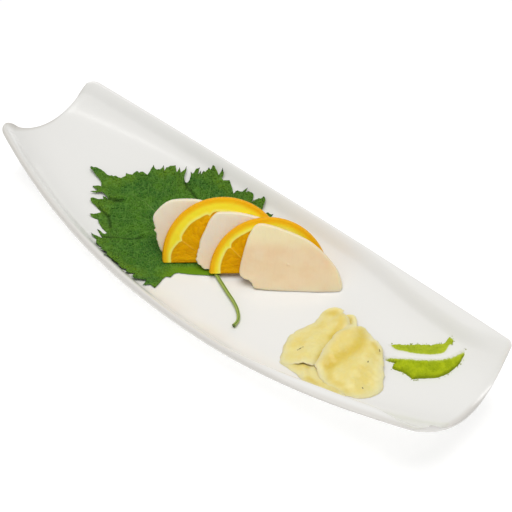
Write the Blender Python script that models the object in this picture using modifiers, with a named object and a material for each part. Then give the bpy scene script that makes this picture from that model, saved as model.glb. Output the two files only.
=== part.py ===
"""Sashimi plate: a boat-shaped white plate with a perilla leaf, white fish slices shingled
with half slices of orange, a small pile of pickled ginger and a smear of wasabi.

Metres, +Z up. The origin is on the table under the middle of the plate, +X runs along it.
"""
import math

import bmesh
import bpy
from mathutils import Vector

MM = 0.001
GAP = 0.3 * MM                  # clearance between pieces that touch
REST_GAP = 0.5 * MM             # clearance over the plate's hollow inside

# Plate: sizes along half its length, which s measures from 0 (middle) to 1 (end)
HALF_LENGTH = 175.0 * MM        # to the corners
END_BOW = 3.3 * MM              # the end edges bow out this much at the middle
HALF_WIDTH_MID = 61.6 * MM
HALF_WIDTH_END = 39.2 * MM
WIDTH_POWER = 2.12
RIM_MID = 19.4 * MM             # height of the lip's outer edge at mid-length
RIM_END = 43.9 * MM             # and at the corners
RIM_POWER = 2.06
FLOOR_MID = 8.0 * MM            # height of the inside along the centre line
FLOOR_END = 26.6 * MM
WALL_POWER_MID = 5.5            # flat floor with a short wall at mid-length
WALL_POWER_END = 2.0            # an even hollow at the ends
UNDER_POWER = 3.2
BODY_THICKNESS = 5.0 * MM
END_THICKNESS = 4.2 * MM
LIP_HEIGHT = 6.6 * MM           # depth of the lip where its rounding starts
LIP_ROUND = 4.0 * MM
END_ROUND = 3.0 * MM
CORNER_RADIUS = 6.0 * MM
EDGE_STEPS = [0.0, 0.35, 1.2, 2.4, 4.0, 6.5]    # rows near an edge, in mm from it
ROWS_ACROSS = 14                # rows between the two lips, closer near them
ROWS_ALONG = 22                 # rows between the two ends

# Foot under the plate
FOOT_HALF_LENGTH = 76.0 * MM
FOOT_HALF_WIDTH = 31.0 * MM
FOOT_WALL = 5.0 * MM
FOOT_TOP = 7.2 * MM
FOOT_POINTS = 44
FOOT_SQUARENESS = 2.6

# Perilla leaf: points round its margin in mm, anticlockwise from the stem
LEAF_MARGIN = [
    (2, -11.5), (-2, 4), (-5, 24), (-8, 38), (-14, 48), (-25, 52), (-40, 50), (-56, 50),
    (-70, 45), (-82, 36), (-93, 26), (-99, 13), (-103, 1), (-114, -4), (-126, -6),
    (-115, -9.5), (-106, -14), (-99, -22), (-90, -32), (-77, -40), (-62, -47), (-46, -50),
    (-30, -49), (-20, -42), (-18, -32), (-10, -19),
]
LEAF_CENTRE = (-56.0, 0.0)
LEAF_REACH = (60.0, 50.0)       # rough half length and half width of the leaf in mm
LEAF_SEGMENTS = 96
LEAF_RINGS = [0.0, 0.45, 0.75, 0.93, 1.0]
LEAF_THICKNESS = 0.8 * MM
LEAF_TOOTH = 3.6                # height of the teeth in mm
LEAF_TEETH = 32
TOOTH_RISE = 0.67               # the long side's share of a tooth
TEETH_FROM = -16.0              # teeth fade out towards the stem and the tip at these x, in mm
TEETH_TO = -108.0
LEAF_WAVE = 1.8 * MM            # how far the leaf's free margin lifts off the plate
LEAF_CALM_ALONG = -43.0         # it lies flat under the slices, which stand right of this line
LEAF_CALM_BACK = -20.0          # and in front of this one, both in mm on the diagonals
STEM_PATH = [(1.4, -11.2), (10, -14.4), (18.4, -17.5), (26, -20.2),
             (32.8, -23.6), (38.4, -28.6), (40.6, -34.6)]
STEM_RADIUS = 1.3 * MM
STEM_STEPS = 3                  # tube rings for each point of its path

# Fish slices: corners of each face in mm, along and up the slice from its foot point
FISH_BACK = [(0, 0), (45, 0), (48, 8), (34, 28), (20, 35.3), (1, 35.5), (-9.5, 26), (-7.8, 7.5)]
FISH_MIDDLE = [(-2, 0), (47, 0), (50, 8), (34, 29), (17, 35.3), (2, 36), (-9, 16), (-11, 7)]
FISH_FRONT = [(-3, 0), (47, 0.5), (48.2, 8), (29.5, 29.5), (12, 38.4), (-6, 39.6), (-14.8, 13),
              (-13.6, 6.5)]
FISH_CORNER = 5.0               # rounding of those corners, in mm
FISH_POINTS = 30

# Half slices of orange: centre of the round edge above the foot point, and its radius, in mm
ORANGE_BACK = ((37.2, 2.8), 37.5)
ORANGE_FRONT = ((35.4, -1.5), 35.7)
ORANGE_POINTS = 34
ARC_STEPS = 60
RIND_SPREAD = 1.02              # the far face is this much larger, as on a round fruit

# Where each slice stands: foot point in mm, turn of its lower edge and lean of its face in
# degrees, and thickness in mm
SLICE_STANCE = {
    "fish_slice_back": ((-28.8, -21.5), 45.0, 58.0, 5.6),
    "orange_slice_back": ((-27.9, -28.0), 45.0, 60.0, 4.3),
    "fish_slice_middle": ((-1.3, -10.3), 45.0, 60.0, 4.7),
    "orange_slice_front": ((0.3, -15.0), 45.0, 60.0, 4.3),
    "fish_slice_front": ((30.8, -1.3), 39.5, 56.0, 5.3),
}
SLICE_SOFT = 0.22               # rounding of a slice's edge as a share of its thickness
SLICE_RINGS = (0.6, 0.955)      # rings of its faces, as shares of the outline

# Pickled ginger: margins in mm, anticlockwise
GINGER_UNDER = [(88, -31), (95, -36), (103, -37.5), (108, -33), (106, -22), (97, -19), (92, -25)]
GINGER_LOBE = [(78, 12), (84, 8), (91, 6), (96, 8), (95, 12), (90, 16), (84, 18.5), (79, 17.5)]
GINGER_LEFT = [(76, -33), (82, -36.5), (94, -25), (95, -18), (92, -6), (88, 4), (82, 12), (76, 16),
               (70, 12), (69.5, 4), (71, -4), (68, -12), (69, -22)]
GINGER_RIGHT = [(98, -28), (107, -32), (118, -35), (128, -33), (134, -25), (133, -15), (126, -5),
                (119, 4), (111, 10), (102, 12), (96, 14), (90, 10), (87, 5), (89, -6), (93, -18)]
GINGER_SEGMENTS = 24
GINGER_RINGS = 3
GINGER_THICKNESS = 1.3 * MM
GINGER_LIFT = 0.6               # heights of the slices' undersides above the plate, in mm
GINGER_LOBE_CURL = 1.2
GINGER_LEFT_RISE = 3.2
GINGER_DOME = 6.8
GINGER_DOME_CENTRE = (100.0, -6.0)
GINGER_DOME_REACH = (36.0, 33.0)

# Wasabi ridges: centre lines in mm, with their half widths
WASABI_NEAR = [(120.5, 5.0), (127, 4.6), (134, 6.3), (141, 9.6), (147, 14.4), (151, 20.5), (153.2, 28)]
WASABI_NEAR_HALF = [0.8, 2.8, 4.6, 5.2, 4.6, 3.4, 1.0]
WASABI_FAR = [(116, 12.2), (120.5, 14.6), (126, 17.4), (132, 20.8), (137, 24.8), (140, 29), (140.2, 33)]
WASABI_FAR_HALF = [0.6, 1.5, 2.0, 2.4, 2.3, 1.3, 0.6]
WASABI_NEAR_HEIGHT = 2.6 * MM
WASABI_FAR_HEIGHT = 1.6 * MM
WASABI_SEGMENTS = 12
WASABI_RINGS = 18


# ---------------------------------------------------------------- small helpers

def smooth(value):
    """Ease from 0 to 1 as value goes from 0 to 1."""
    value = min(max(value, 0.0), 1.0)
    return value * value * (3.0 - 2.0 * value)


def curve_point(points, position, closed):
    """A point on the Catmull-Rom curve through points, at position counted in points."""
    count = len(points)
    start = math.floor(position)
    part = position - start

    def control(index):
        if closed:
            return Vector(points[index % count])
        return Vector(points[min(max(index, 0), count - 1)])

    before, here, there, after = (control(start + step) for step in (-1, 0, 1, 2))
    return 0.5 * (2.0 * here + (there - before) * part
                  + (2.0 * before - 5.0 * here + 4.0 * there - after) * part ** 2
                  + (3.0 * here - before - 3.0 * there + after) * part ** 3)


def even_points(outline, count):
    """Spread count points evenly along a closed outline of many points."""
    lengths = [0.0]
    for index, point in enumerate(outline):
        step = (outline[(index + 1) % len(outline)] - point).length
        lengths.append(lengths[-1] + step)
    spread = []
    index = 0
    for number in range(count):
        target = lengths[-1] * number / count
        while lengths[index + 1] < target:
            index += 1
        part = (target - lengths[index]) / (lengths[index + 1] - lengths[index])
        spread.append(outline[index].lerp(outline[(index + 1) % len(outline)], part))
    return spread


def rounded_polygon(corners, radius, count):
    """The outline of a polygon whose corners are rounded, as evenly spread points."""
    outline = []
    for index, corner in enumerate(corners):
        corner = Vector(corner)
        before = Vector(corners[index - 1]) - corner
        after = Vector(corners[(index + 1) % len(corners)]) - corner
        start = corner + before * min(radius / before.length, 0.45)
        end = corner + after * min(radius / after.length, 0.45)
        for step in range(7):
            part = step / 6.0
            outline.append(start.lerp(corner, part).lerp(corner.lerp(end, part), part))
    return even_points(outline, count)


def half_disc(centre, radius, count):
    """A disc cut off along its lower side at height 0, as evenly spread points."""
    start = -math.asin(centre[1] / radius)
    sweep = math.pi - 2.0 * start
    arc = []
    for step in range(ARC_STEPS + 1):
        angle = start + sweep * step / ARC_STEPS
        arc.append(Vector(centre) + Vector((math.cos(angle), math.sin(angle))) * radius)
    return even_points(arc, count)


# ---------------------------------------------------------------- the plate's surfaces

def half_width(s):
    """Half width of the plate at s, with its corners rounded in plan."""
    width = HALF_WIDTH_MID - (HALF_WIDTH_MID - HALF_WIDTH_END) * abs(s) ** WIDTH_POWER
    from_end = (1.0 - abs(s)) * HALF_LENGTH
    if from_end < CORNER_RADIUS:
        width += math.sqrt(CORNER_RADIUS ** 2 - (CORNER_RADIUS - from_end) ** 2) - CORNER_RADIUS
    return width


def rim_height(s):
    return RIM_MID + (RIM_END - RIM_MID) * abs(s) ** RIM_POWER


def lip_height(s):
    return LIP_HEIGHT + (END_THICKNESS - LIP_HEIGHT) * s * s


def floor_height(s):
    return FLOOR_MID + (FLOOR_END - FLOOR_MID) * s * s


def inside_height(s, v):
    """Height of the inside at s, v of the way from the centre line to the rim."""
    power = WALL_POWER_END + (WALL_POWER_MID - WALL_POWER_END) * (1.0 - abs(s) ** 1.5)
    lip = rim_height(s) + 0.5 * lip_height(s)
    return floor_height(s) + (lip - floor_height(s)) * abs(v) ** power


def outside_height(s, v):
    """Height of the outside under the same place."""
    thickness = BODY_THICKNESS + (END_THICKNESS - BODY_THICKNESS) * s * s
    power = WALL_POWER_END + (UNDER_POWER - WALL_POWER_END) * (1.0 - abs(s) ** 1.5)
    low = floor_height(s) - thickness
    lip = rim_height(s) - 0.5 * lip_height(s)
    return low + (lip - low) * abs(v) ** power


def plate_point(s, from_edge, side, inner):
    """A point of the plate's skin at s, from_edge in from the lip on one side."""
    width = half_width(s)
    y = side * (width - from_edge)
    v = y / width
    end = HALF_LENGTH + END_BOW * (1.0 - v * v)
    high = inside_height(s, v)
    low = outside_height(s, v)
    lip_part = max(0.0, 1.0 - from_edge / LIP_ROUND)
    end_part = max(0.0, 1.0 - (1.0 - abs(s)) * end / END_ROUND)
    half = 0.5 * (high - low)
    half *= math.sqrt(max(0.0, 1.0 - lip_part ** 2)) * math.sqrt(max(0.0, 1.0 - end_part ** 2))
    middle = 0.5 * (high + low)
    return Vector((s * end, y, middle + half if inner else middle - half))


def resting_height(x, y):
    """Height of the plate's inside under a point, in metres."""
    s = x / HALF_LENGTH
    v = min(abs(y) / half_width(s), 1.0)
    s = x / (HALF_LENGTH + END_BOW * (1.0 - v * v))
    v = min(abs(y) / half_width(s), 1.0)
    return inside_height(s, v)


# ---------------------------------------------------------------- meshes and materials

def new_material(name, colour, roughness, subsurface=0.0):
    material = bpy.data.materials.new(name)
    material.use_nodes = True
    shader = material.node_tree.nodes["Principled BSDF"]
    shader.inputs["Base Color"].default_value = (*colour, 1.0)
    shader.inputs["Roughness"].default_value = roughness
    shader.inputs["Metallic"].default_value = 0.0
    shader.inputs["Subsurface Weight"].default_value = subsurface
    material.diffuse_color = (*colour, 1.0)
    return material


def new_object(name, work, collection, material, smooth_angle=40.0):
    """Turn a bmesh into an object of the collection."""
    mesh = bpy.data.meshes.new(name)
    work.to_mesh(mesh)
    work.free()
    piece = bpy.data.objects.new(name, mesh)
    collection.objects.link(piece)
    if material is not None:
        mesh.materials.append(material)
    mesh.shade_smooth()
    mesh.set_sharp_from_angle(angle=math.radians(smooth_angle))
    return piece


def shaped_ball(segments, rings, place):
    """A UV sphere whose vertices are moved to place(ring, segment)."""
    work = bmesh.new()
    bmesh.ops.create_uvsphere(work, u_segments=segments, v_segments=rings, radius=1.0)
    for vertex in work.verts:
        ring = round(math.acos(max(-1.0, min(1.0, vertex.co.z))) / math.pi * rings)
        segment = round(math.atan2(vertex.co.y, vertex.co.x) / (2.0 * math.pi) * segments) % segments
        vertex.co = place(ring, segment)
    if work.calc_volume(signed=True) < 0.0:
        bmesh.ops.reverse_faces(work, faces=work.faces)
    return work


def shaped_disc(segments, rings, place):
    """A grid wrapped into a disc: place(ring, segment), with ring 0 at its centre."""
    work = bmesh.new()
    bmesh.ops.create_grid(work, x_segments=rings, y_segments=segments, size=1.0)
    for vertex in work.verts:
        ring = round((vertex.co.x + 1.0) * 0.5 * rings)
        segment = round((vertex.co.y + 1.0) * 0.5 * segments) % segments
        vertex.co = place(ring, segment)
    bmesh.ops.remove_doubles(work, verts=work.verts, dist=0.01 * MM)
    return work


def thicken(piece, thickness):
    """Give an open sheet its thickness, upwards."""
    shell = piece.modifiers.new("thickness", 'SOLIDIFY')
    shell.thickness = thickness
    shell.offset = 1.0


def join_with(piece, other):
    """Join other into piece as one solid."""
    union = piece.modifiers.new("join", 'BOOLEAN')
    union.operation = 'UNION'
    union.solver = 'EXACT'
    union.object = other


def hide_guide(guide):
    guide.hide_render = True
    guide.display_type = 'WIRE'


# ---------------------------------------------------------------- the pieces

def make_foot(guides):
    """The low foot ring, a strip swept round an oval and thickened inwards."""
    work = bmesh.new()
    bmesh.ops.create_grid(work, x_segments=FOOT_POINTS, y_segments=1, size=1.0)
    for vertex in work.verts:
        angle = math.pi * (vertex.co.x + 1.0)
        power = 2.0 / FOOT_SQUARENESS
        x = FOOT_HALF_LENGTH * math.copysign(abs(math.cos(angle)) ** power, math.cos(angle))
        y = FOOT_HALF_WIDTH * math.copysign(abs(math.sin(angle)) ** power, math.sin(angle))
        vertex.co = (x, y, 0.0 if vertex.co.y < 0.0 else FOOT_TOP)
    bmesh.ops.remove_doubles(work, verts=work.verts, dist=0.01 * MM)
    foot = new_object("foot_guide", work, guides, None)
    wall = foot.modifiers.new("thickness", 'SOLIDIFY')
    wall.thickness = FOOT_WALL
    wall.offset = -1.0
    hide_guide(foot)
    return foot


def make_plate(collection, guides):
    rows = [step * MM for step in EDGE_STEPS]
    along = [1.0 - row / HALF_LENGTH for row in rows]
    inner_along = [along[-1] * (1.0 - 2.0 * step / ROWS_ALONG) for step in range(1, ROWS_ALONG)]
    stations = along + inner_along + [-s for s in reversed(along)]
    across = 2 * len(rows) + ROWS_ACROSS - 1

    def skin_place(s, index):
        """The lip's side and the distance in from it, for one row across the plate."""
        if index < len(rows):
            return rows[index], 1.0
        if index > across - len(rows):
            return rows[across - index], -1.0
        turn = math.pi * ((index - len(rows) + 1) / ROWS_ACROSS - 0.5)
        return half_width(s) + (half_width(s) - rows[-1]) * math.sin(turn), 1.0

    work = bmesh.new()
    for inner in (True, False):
        made = bmesh.ops.create_grid(work, x_segments=len(stations) - 1, y_segments=across, size=1.0)
        for vertex in made["verts"]:
            s = stations[round((1.0 - vertex.co.x) * 0.5 * (len(stations) - 1))]
            from_edge, side = skin_place(s, round((1.0 - vertex.co.y) * 0.5 * across))
            vertex.co = plate_point(s, from_edge, side, inner)
        if not inner:
            faces = list({face for vertex in made["verts"] for face in vertex.link_faces})
            bmesh.ops.reverse_faces(work, faces=faces)
    bmesh.ops.remove_doubles(work, verts=work.verts, dist=0.01 * MM)
    glaze = new_material("white_glaze", (0.86, 0.85, 0.83), 0.25)
    plate = new_object("plate", work, collection, glaze, 60.0)
    join_with(plate, make_foot(guides))


def leaf_edge(position):
    """A point of the leaf's margin in mm, with its teeth, at position from 0 to 1."""
    count = len(LEAF_MARGIN)
    here = curve_point(LEAF_MARGIN, position * count, True)
    ahead = curve_point(LEAF_MARGIN, position * count + 0.05, True)
    tangent = (ahead - here).normalized()
    outward = Vector((tangent.y, -tangent.x))
    toothed = smooth((TEETH_FROM - here.x) / 10.0) * smooth((here.x - TEETH_TO) / 8.0)
    tooth = (position * LEAF_TEETH) % 1.0
    height = min(tooth / TOOTH_RISE, (1.0 - tooth) / (1.0 - TOOTH_RISE))
    lean = -1.0 if here.y < 0.0 else 1.0
    return here + (outward * height + tangent * lean * height * 0.4) * LEAF_TOOTH * toothed


def leaf_height(x, y):
    """Height of the leaf's underside in metres: flat under the slices, wavy round them."""
    along = (x + y) / MM / math.sqrt(2.0)
    toward = (x - y) / MM / math.sqrt(2.0)
    clear = max(smooth((LEAF_CALM_ALONG - along) / 14.0), smooth((LEAF_CALM_BACK - toward) / 12.0))
    spread = math.hypot((x / MM - LEAF_CENTRE[0]) / LEAF_REACH[0], (y / MM - LEAF_CENTRE[1]) / LEAF_REACH[1])
    wave = 0.5 + 0.5 * math.sin(x / MM * 0.11 + 1.0) * math.sin(y / MM * 0.13)
    return resting_height(x, y) + REST_GAP + LEAF_WAVE * wave * clear * smooth(2.0 * spread - 1.0)


def make_leaf(collection, guides):
    centre = Vector(LEAF_CENTRE)

    def place(ring, segment):
        flat = centre.lerp(leaf_edge(segment / LEAF_SEGMENTS), LEAF_RINGS[ring]) * MM
        return Vector((flat.x, flat.y, leaf_height(flat.x, flat.y)))

    work = shaped_disc(LEAF_SEGMENTS, len(LEAF_RINGS) - 1, place)
    leaf = new_object("perilla_leaf", work, collection, new_material("leaf_green", (0.06, 0.17, 0.02), 0.6))
    thicken(leaf, LEAF_THICKNESS)
    join_with(leaf, make_stem(guides))


def make_stem(guides):
    """The stem, a bent tube lying on the plate, as a mesh that the leaf is joined with."""
    curve = bpy.data.curves.new("stem_line", 'CURVE')
    curve.dimensions = '3D'
    curve.bevel_depth = STEM_RADIUS
    curve.bevel_resolution = 2
    curve.use_fill_caps = True
    spline = curve.splines.new('POLY')
    steps = STEM_STEPS * (len(STEM_PATH) - 1)
    spline.points.add(steps)
    for step in range(steps + 1):
        flat = curve_point(STEM_PATH, step / STEM_STEPS, False) * MM
        height = resting_height(flat.x, flat.y) + REST_GAP + STEM_RADIUS
        spline.points[step].co = (flat.x, flat.y, height, 1.0)
    line = bpy.data.objects.new("stem_line", curve)
    guides.objects.link(line)
    bpy.context.view_layer.update()
    evaluated = line.evaluated_get(bpy.context.evaluated_depsgraph_get())
    mesh = bpy.data.meshes.new_from_object(evaluated)
    work = bmesh.new()
    work.from_mesh(mesh)
    bmesh.ops.remove_doubles(work, verts=work.verts, dist=0.01 * MM)
    bmesh.ops.recalc_face_normals(work, faces=work.faces)
    stem = new_object("stem_guide", work, guides, None)
    stem.matrix_world = line.matrix_world
    bpy.data.objects.remove(line)
    bpy.data.meshes.remove(mesh)
    hide_guide(stem)
    return stem


def make_slice(name, outline, rest, collection, material, far_scale=1.0):
    """A leaning slice: its outline lies on a face that leans back from its foot point.

    Its lower side is flattened on whatever it stands on, at the height rest above the plate.
    """
    foot, turn, lean, thickness = SLICE_STANCE[name]
    turn = math.radians(turn)
    lean = math.radians(lean)
    thickness *= MM
    along = Vector((math.cos(turn), math.sin(turn), 0.0))
    front = Vector((math.sin(turn), -math.cos(turn), 0.0))
    normal = front * math.sin(lean) + Vector((0.0, 0.0, math.cos(lean)))
    upward = Vector((0.0, 0.0, math.sin(lean))) - front * math.cos(lean)
    start = Vector((foot[0] * MM, foot[1] * MM, 0.0))
    start.z = resting_height(start.x, start.y) + rest
    middle = sum(outline, Vector((0.0, 0.0))) / len(outline)
    soft = SLICE_SOFT * thickness
    inner, outer = SLICE_RINGS
    profile = [(0.0, 0.0), (inner, 0.0), (outer, 0.0), (1.0, soft), (far_scale, thickness - soft),
               (outer * far_scale, thickness), (inner, thickness), (0.0, thickness)]

    def place(ring, segment):
        reach, depth = profile[ring]
        flat = middle.lerp(outline[segment], reach) * MM
        point = start + along * flat.x + upward * flat.y - normal * depth
        point.z = max(point.z, resting_height(point.x, point.y) + rest)
        return point

    work = shaped_ball(len(outline), len(profile) - 1, place)
    return new_object(name, work, collection, material, 50.0)


def make_slices(collection):
    """The five slices, fish and orange in turn, from the back one to the front one."""
    fish = new_material("white_fish", (0.83, 0.68, 0.52), 0.35, 0.2)
    orange = new_material("orange_slice", (0.85, 0.42, 0.01), 0.35, 0.1)
    on_leaf = REST_GAP + LEAF_THICKNESS + GAP
    on_stem = REST_GAP + 2.0 * STEM_RADIUS + GAP
    fish_slices = {
        "fish_slice_back": (FISH_BACK, on_leaf),
        "fish_slice_middle": (FISH_MIDDLE, on_leaf),
        "fish_slice_front": (FISH_FRONT, REST_GAP),
    }
    orange_slices = {
        "orange_slice_back": (ORANGE_BACK, on_leaf),
        "orange_slice_front": (ORANGE_FRONT, on_stem),
    }
    for name, (corners, rest) in fish_slices.items():
        outline = rounded_polygon(corners, FISH_CORNER, FISH_POINTS)
        make_slice(name, outline, rest, collection, fish)
    for name, ((centre, radius), rest) in orange_slices.items():
        outline = half_disc(centre, radius, ORANGE_POINTS)
        make_slice(name, outline, rest, collection, orange, RIND_SPREAD)


def ginger_rise(name, x, y):
    """How far a ginger slice's underside rises above the plate, in mm, at x, y in mm."""
    if name == "ginger_lobe":
        return GINGER_LOBE_CURL * smooth((y - 12.0) / 7.0)
    if name == "ginger_left":
        over_lobe = smooth((y - 2.0) / 7.0) * smooth((x - 68.0) / 9.0)
        return GINGER_LEFT_RISE * max(smooth((x - 70.0) / 20.0), over_lobe)
    if name == "ginger_right":
        x_share = (x - GINGER_DOME_CENTRE[0]) / GINGER_DOME_REACH[0]
        y_share = (y - GINGER_DOME_CENTRE[1]) / GINGER_DOME_REACH[1]
        return GINGER_DOME * math.exp(-1.5 * math.hypot(x_share, y_share) ** 3)
    return 0.0


def make_ginger(collection):
    """Four thin slices of pickled ginger, each lying over the ones before it."""
    material = new_material("pickled_ginger", (0.80, 0.68, 0.28), 0.3, 0.3)
    margins = {"ginger_under": GINGER_UNDER, "ginger_lobe": GINGER_LOBE,
               "ginger_left": GINGER_LEFT, "ginger_right": GINGER_RIGHT}
    for name, margin in margins.items():
        centre = sum((Vector(point) for point in margin), Vector((0.0, 0.0))) / len(margin)

        def place(ring, segment):
            edge = curve_point(margin, segment / GINGER_SEGMENTS * len(margin), True)
            flat = centre.lerp(edge, ring / GINGER_RINGS)
            rise = (GINGER_LIFT + ginger_rise(name, flat.x, flat.y)) * MM
            return Vector((flat.x * MM, flat.y * MM, resting_height(flat.x * MM, flat.y * MM) + rise))

        work = shaped_disc(GINGER_SEGMENTS, GINGER_RINGS, place)
        thicken(new_object(name, work, collection, material), GINGER_THICKNESS)


def make_wasabi(name, path, halves, height, collection, material):
    """A ridge of paste along a bent line, flat where it lies on the plate."""
    last = len(path) - 1

    def place(ring, segment):
        part = ring / WASABI_RINGS
        position = part * last
        line = curve_point(path, position, False)
        heading = curve_point(path, min(position + 0.05, last), False) - curve_point(
            path, max(position - 0.05, 0.0), False)
        side = Vector((heading.y, -heading.x)).normalized()
        half = curve_point([(value, 0.0) for value in halves], position, False).x
        half *= math.sqrt(math.sin(math.pi * part))
        angle = 2.0 * math.pi * segment / WASABI_SEGMENTS
        flat = (line + side * half * math.cos(angle)) * MM
        rise = height * max(math.sin(angle), 0.0) * math.sqrt(math.sin(math.pi * part))
        return Vector((flat.x, flat.y, resting_height(flat.x, flat.y) + REST_GAP + rise))

    work = shaped_ball(WASABI_SEGMENTS, WASABI_RINGS, place)
    return new_object(name, work, collection, material, 70.0)


def main():
    for old in list(bpy.data.objects):
        bpy.data.objects.remove(old, do_unlink=True)
    collection = bpy.data.collections.new("sashimi_plate")
    guides = bpy.data.collections.new("guides")
    bpy.context.scene.collection.children.link(collection)
    bpy.context.scene.collection.children.link(guides)
    make_plate(collection, guides)
    make_leaf(collection, guides)
    make_slices(collection)
    make_ginger(collection)
    wasabi = new_material("wasabi", (0.42, 0.50, 0.03), 0.7)
    make_wasabi("wasabi_near", WASABI_NEAR, WASABI_NEAR_HALF, WASABI_NEAR_HEIGHT, collection, wasabi)
    make_wasabi("wasabi_far", WASABI_FAR, WASABI_FAR_HALF, WASABI_FAR_HEIGHT, collection, wasabi)


main()
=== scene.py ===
"""Looks of the sashimi plate: a glazed plate with a perilla leaf, slices of fish and orange,
pickled ginger and a smear of wasabi.

Shapes are worked out in millimetres in the row frame and written to meshes in metres.
"""

import math

import bmesh
import bpy
import numpy as np
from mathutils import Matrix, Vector
from mathutils.geometry import delaunay_2d_cdt


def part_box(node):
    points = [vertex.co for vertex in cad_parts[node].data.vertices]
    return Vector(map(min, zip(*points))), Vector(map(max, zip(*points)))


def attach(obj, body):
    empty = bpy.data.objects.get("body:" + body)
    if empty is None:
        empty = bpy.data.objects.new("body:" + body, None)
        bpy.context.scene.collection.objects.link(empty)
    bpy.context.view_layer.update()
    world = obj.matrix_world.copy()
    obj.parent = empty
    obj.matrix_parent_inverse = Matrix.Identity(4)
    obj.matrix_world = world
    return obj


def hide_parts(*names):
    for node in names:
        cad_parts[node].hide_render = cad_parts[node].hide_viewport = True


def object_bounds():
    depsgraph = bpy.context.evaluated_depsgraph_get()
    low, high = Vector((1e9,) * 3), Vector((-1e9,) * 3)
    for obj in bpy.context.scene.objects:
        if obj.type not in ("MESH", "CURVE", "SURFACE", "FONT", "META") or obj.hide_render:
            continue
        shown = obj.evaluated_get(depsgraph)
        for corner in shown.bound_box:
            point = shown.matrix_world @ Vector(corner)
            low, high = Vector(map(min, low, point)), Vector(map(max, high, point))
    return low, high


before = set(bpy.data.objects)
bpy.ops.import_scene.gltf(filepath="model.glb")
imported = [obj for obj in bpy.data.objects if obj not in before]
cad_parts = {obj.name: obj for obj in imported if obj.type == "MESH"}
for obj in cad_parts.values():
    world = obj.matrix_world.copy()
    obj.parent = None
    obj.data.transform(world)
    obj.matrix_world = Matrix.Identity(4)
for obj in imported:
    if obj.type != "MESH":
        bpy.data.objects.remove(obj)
cad_box = [list(corner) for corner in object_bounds()]

MM = 0.001
REST_GAP = 0.5                  # food stays this far above the plate's inside, in mm

# The plate's surfaces, as the CAD plate has them, in mm
plate_low, plate_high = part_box("plate")
END_BOW = 3.3
HALF_LENGTH = plate_high.x / MM - END_BOW
HALF_WIDTH_MID = plate_high.y / MM
HALF_WIDTH_END = 39.2
WIDTH_POWER = 2.12
RIM_MID = 19.4
RIM_END = 43.1
RIM_POWER = 2.06
FLOOR_MID = 8.0
FLOOR_END = 26.6
WALL_POWER_MID = 5.5
WALL_POWER_END = 2.0
UNDER_POWER = 3.2
BODY_THICKNESS = 5.0
END_THICKNESS = 4.2
LIP_HEIGHT = 6.6
LIP_ROUND_LEFT = 2.4            # how far in the rim's outer side is rounded
LIP_ROUND_RIGHT = 7.0
LIP_FLAT = 1.4                  # the rim drops from this far outside its rounding, over LIP_SLOPE
LIP_SLOPE = 8.5
LIP_TRIM = 1.8                  # how much thinner the rim is towards the right
FAR_RIM_SHADE_SHIFT = 3.0                 # how many mm less of the far rim gets the grey edge colour, mostly painted shade
LIP_FAR_SHARE = 0.45            # how much of the near rim's ledge the far rim has
END_ROUND = 3.0
CORNER_RADIUS = 6.0
FOOT_HALF_LENGTH = 76.0
FOOT_HALF_WIDTH = 31.0
FOOT_SQUARENESS = 2.6
FOOT_SECTION = [(0, 7.2), (0, 1.3), (0.4, 0.4), (1.3, 0), (3.7, 0), (4.6, 0.4), (5, 1.3), (5, 7.2)]

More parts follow.
